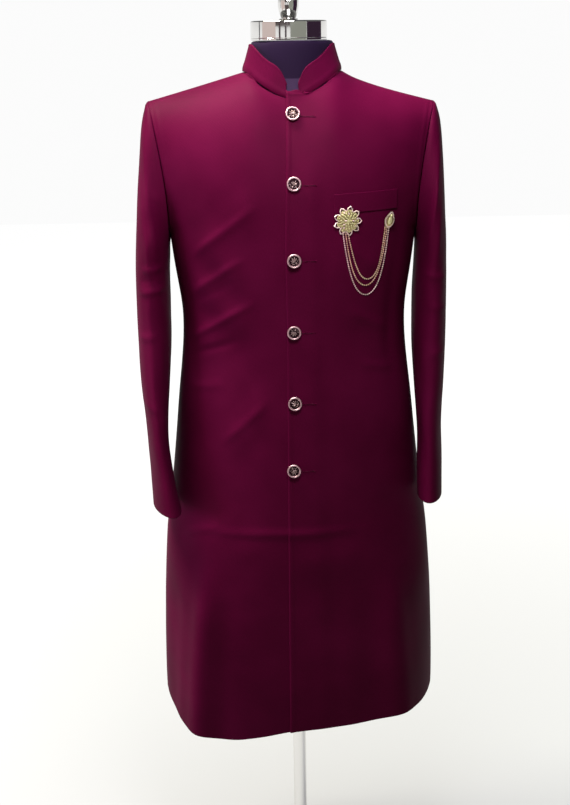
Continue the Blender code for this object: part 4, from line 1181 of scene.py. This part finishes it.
lamps = {  # place, aimed at, size in metres, watts, colour, whether polished metal shows it
    "shoulderLamp": {"at": (0.0, -0.72, 1.92), "aim": (0.0, -0.05, 1.42), "size": (0.35, 0.25), "power": 11.0,
                     "colour": (0.97, 0.96, 1.0), "glossy": True},
    "topLamp": {"at": (-1.2, 0.2, 4.0), "aim": (0.0, 0.0, 1.3), "size": (1.3, 1.3), "power": 305,
                "colour": (1.0, 0.98, 0.84), "glossy": True},
    "middleLamp": {"at": (0.0, -0.2, 3.0), "aim": (0.0, -0.05, 1.2), "size": (0.6, 0.6), "power": 19,
                   "colour": (0.70, 0.90, 1.0), "glossy": False},
    "sideLamp": {"at": (-2.4, -0.4, 1.2), "aim": (0.0, -0.05, 1.2), "size": (0.8, 0.8), "power": 34,
                 "colour": (0.76, 0.66, 1.0), "glossy": False},
}


def floorMaterial():
    made, tree, shader = newMaterial("paleFloor", studio["floorColour"], 0.9, Specular_IOR_Level=0.1)
    shader.inputs["Emission Color"].default_value = (1, 1, 1, 1)
    away = addNode(tree, "ShaderNodeVectorMath", {0: objectPlace(tree)}, operation="LENGTH")
    glow = rangeOf(tree, away.outputs["Value"], studio["glowNear"], studio["glowFar"],
                   fromMax=studio["glowReach"])
    tree.links.new(glow, shader.inputs["Emission Strength"])
    return made


def makeWorld():
    # dim underneath, white up to just over the horizon, dim overhead
    world = bpy.data.worlds.new("studioWorld")
    world.use_nodes = True
    tree = world.node_tree
    direction = addNode(tree, "ShaderNodeTexCoord")
    split = addNode(tree, "ShaderNodeSeparateXYZ", {"Vector": direction.outputs["Generated"]})
    height = rangeOf(tree, split.outputs["Z"], 0.0, 1.0, -0.5, 0.5)
    under, low, high = ((studio[k],) * 3 for k in ("under", "low", "high"))
    shade = ramp(tree, height, ((studio["darkUpTo"], under), (studio["whiteFrom"], low),
                                (0.5 + studio["fadeFrom"], low), (0.5 + studio["fadeTo"], high)))
    tree.links.new(shade, tree.nodes["Background"].inputs["Color"])
    bpy.context.scene.world = world


def makeCards():
    for name, (start, end, low, high, glow) in cards.items():
        made, _, shader = newMaterial(name + "Face", (0, 0, 0), 1.0, Specular_IOR_Level=0.0)
        shader.inputs["Emission Color"].default_value = (*glow, 1)
        shader.inputs["Emission Strength"].default_value = 1.0
        steps = max(1, round((end - start) / 6))
        verts = []
        for i in range(steps + 1):
            turn = math.radians(start + (end - start) * i / steps)
            verts += [(cardReach * math.sin(turn), -cardReach * math.cos(turn), z) for z in (low, high)]
        mesh = bpy.data.meshes.new(name)
        mesh.from_pydata(verts, [], [(2 * i, 2 * i + 1, 2 * i + 3, 2 * i + 2) for i in range(steps)])
        mesh.materials.append(made)
        card = placeObject(name, mesh)
        card.visible_camera = False


def makeStudio():
    shape = bmesh.new()
    bmesh.ops.create_grid(shape, x_segments=1, y_segments=1, size=studio["floor"])
    mesh = bpy.data.meshes.new("studioFloor")
    shape.to_mesh(mesh)
    shape.free()
    mesh.materials.append(floorMaterial())
    floor = placeObject("studioFloor", mesh)
    floor.location.z = -0.0005
    floor.visible_diffuse = False
    makeWorld()
    makeCards()
    bpy.context.scene.view_settings.view_transform = "Standard"  # shows the colours as they are mixed
    for name, lamp in lamps.items():
        data = bpy.data.lights.new(name, "AREA")
        data.shape = "RECTANGLE"
        data.size, data.size_y = lamp["size"]
        data.energy = lamp["power"]
        data.color = lamp["colour"]
        light = placeObject(name, data)
        light.location = lamp["at"]
        light.visible_glossy = lamp["glossy"]
        aim = Vector(lamp["aim"]) - Vector(lamp["at"])
        light.rotation_euler = aim.to_track_quat("-Z", "Y").to_euler()


makeStudio()
print("studio lit")
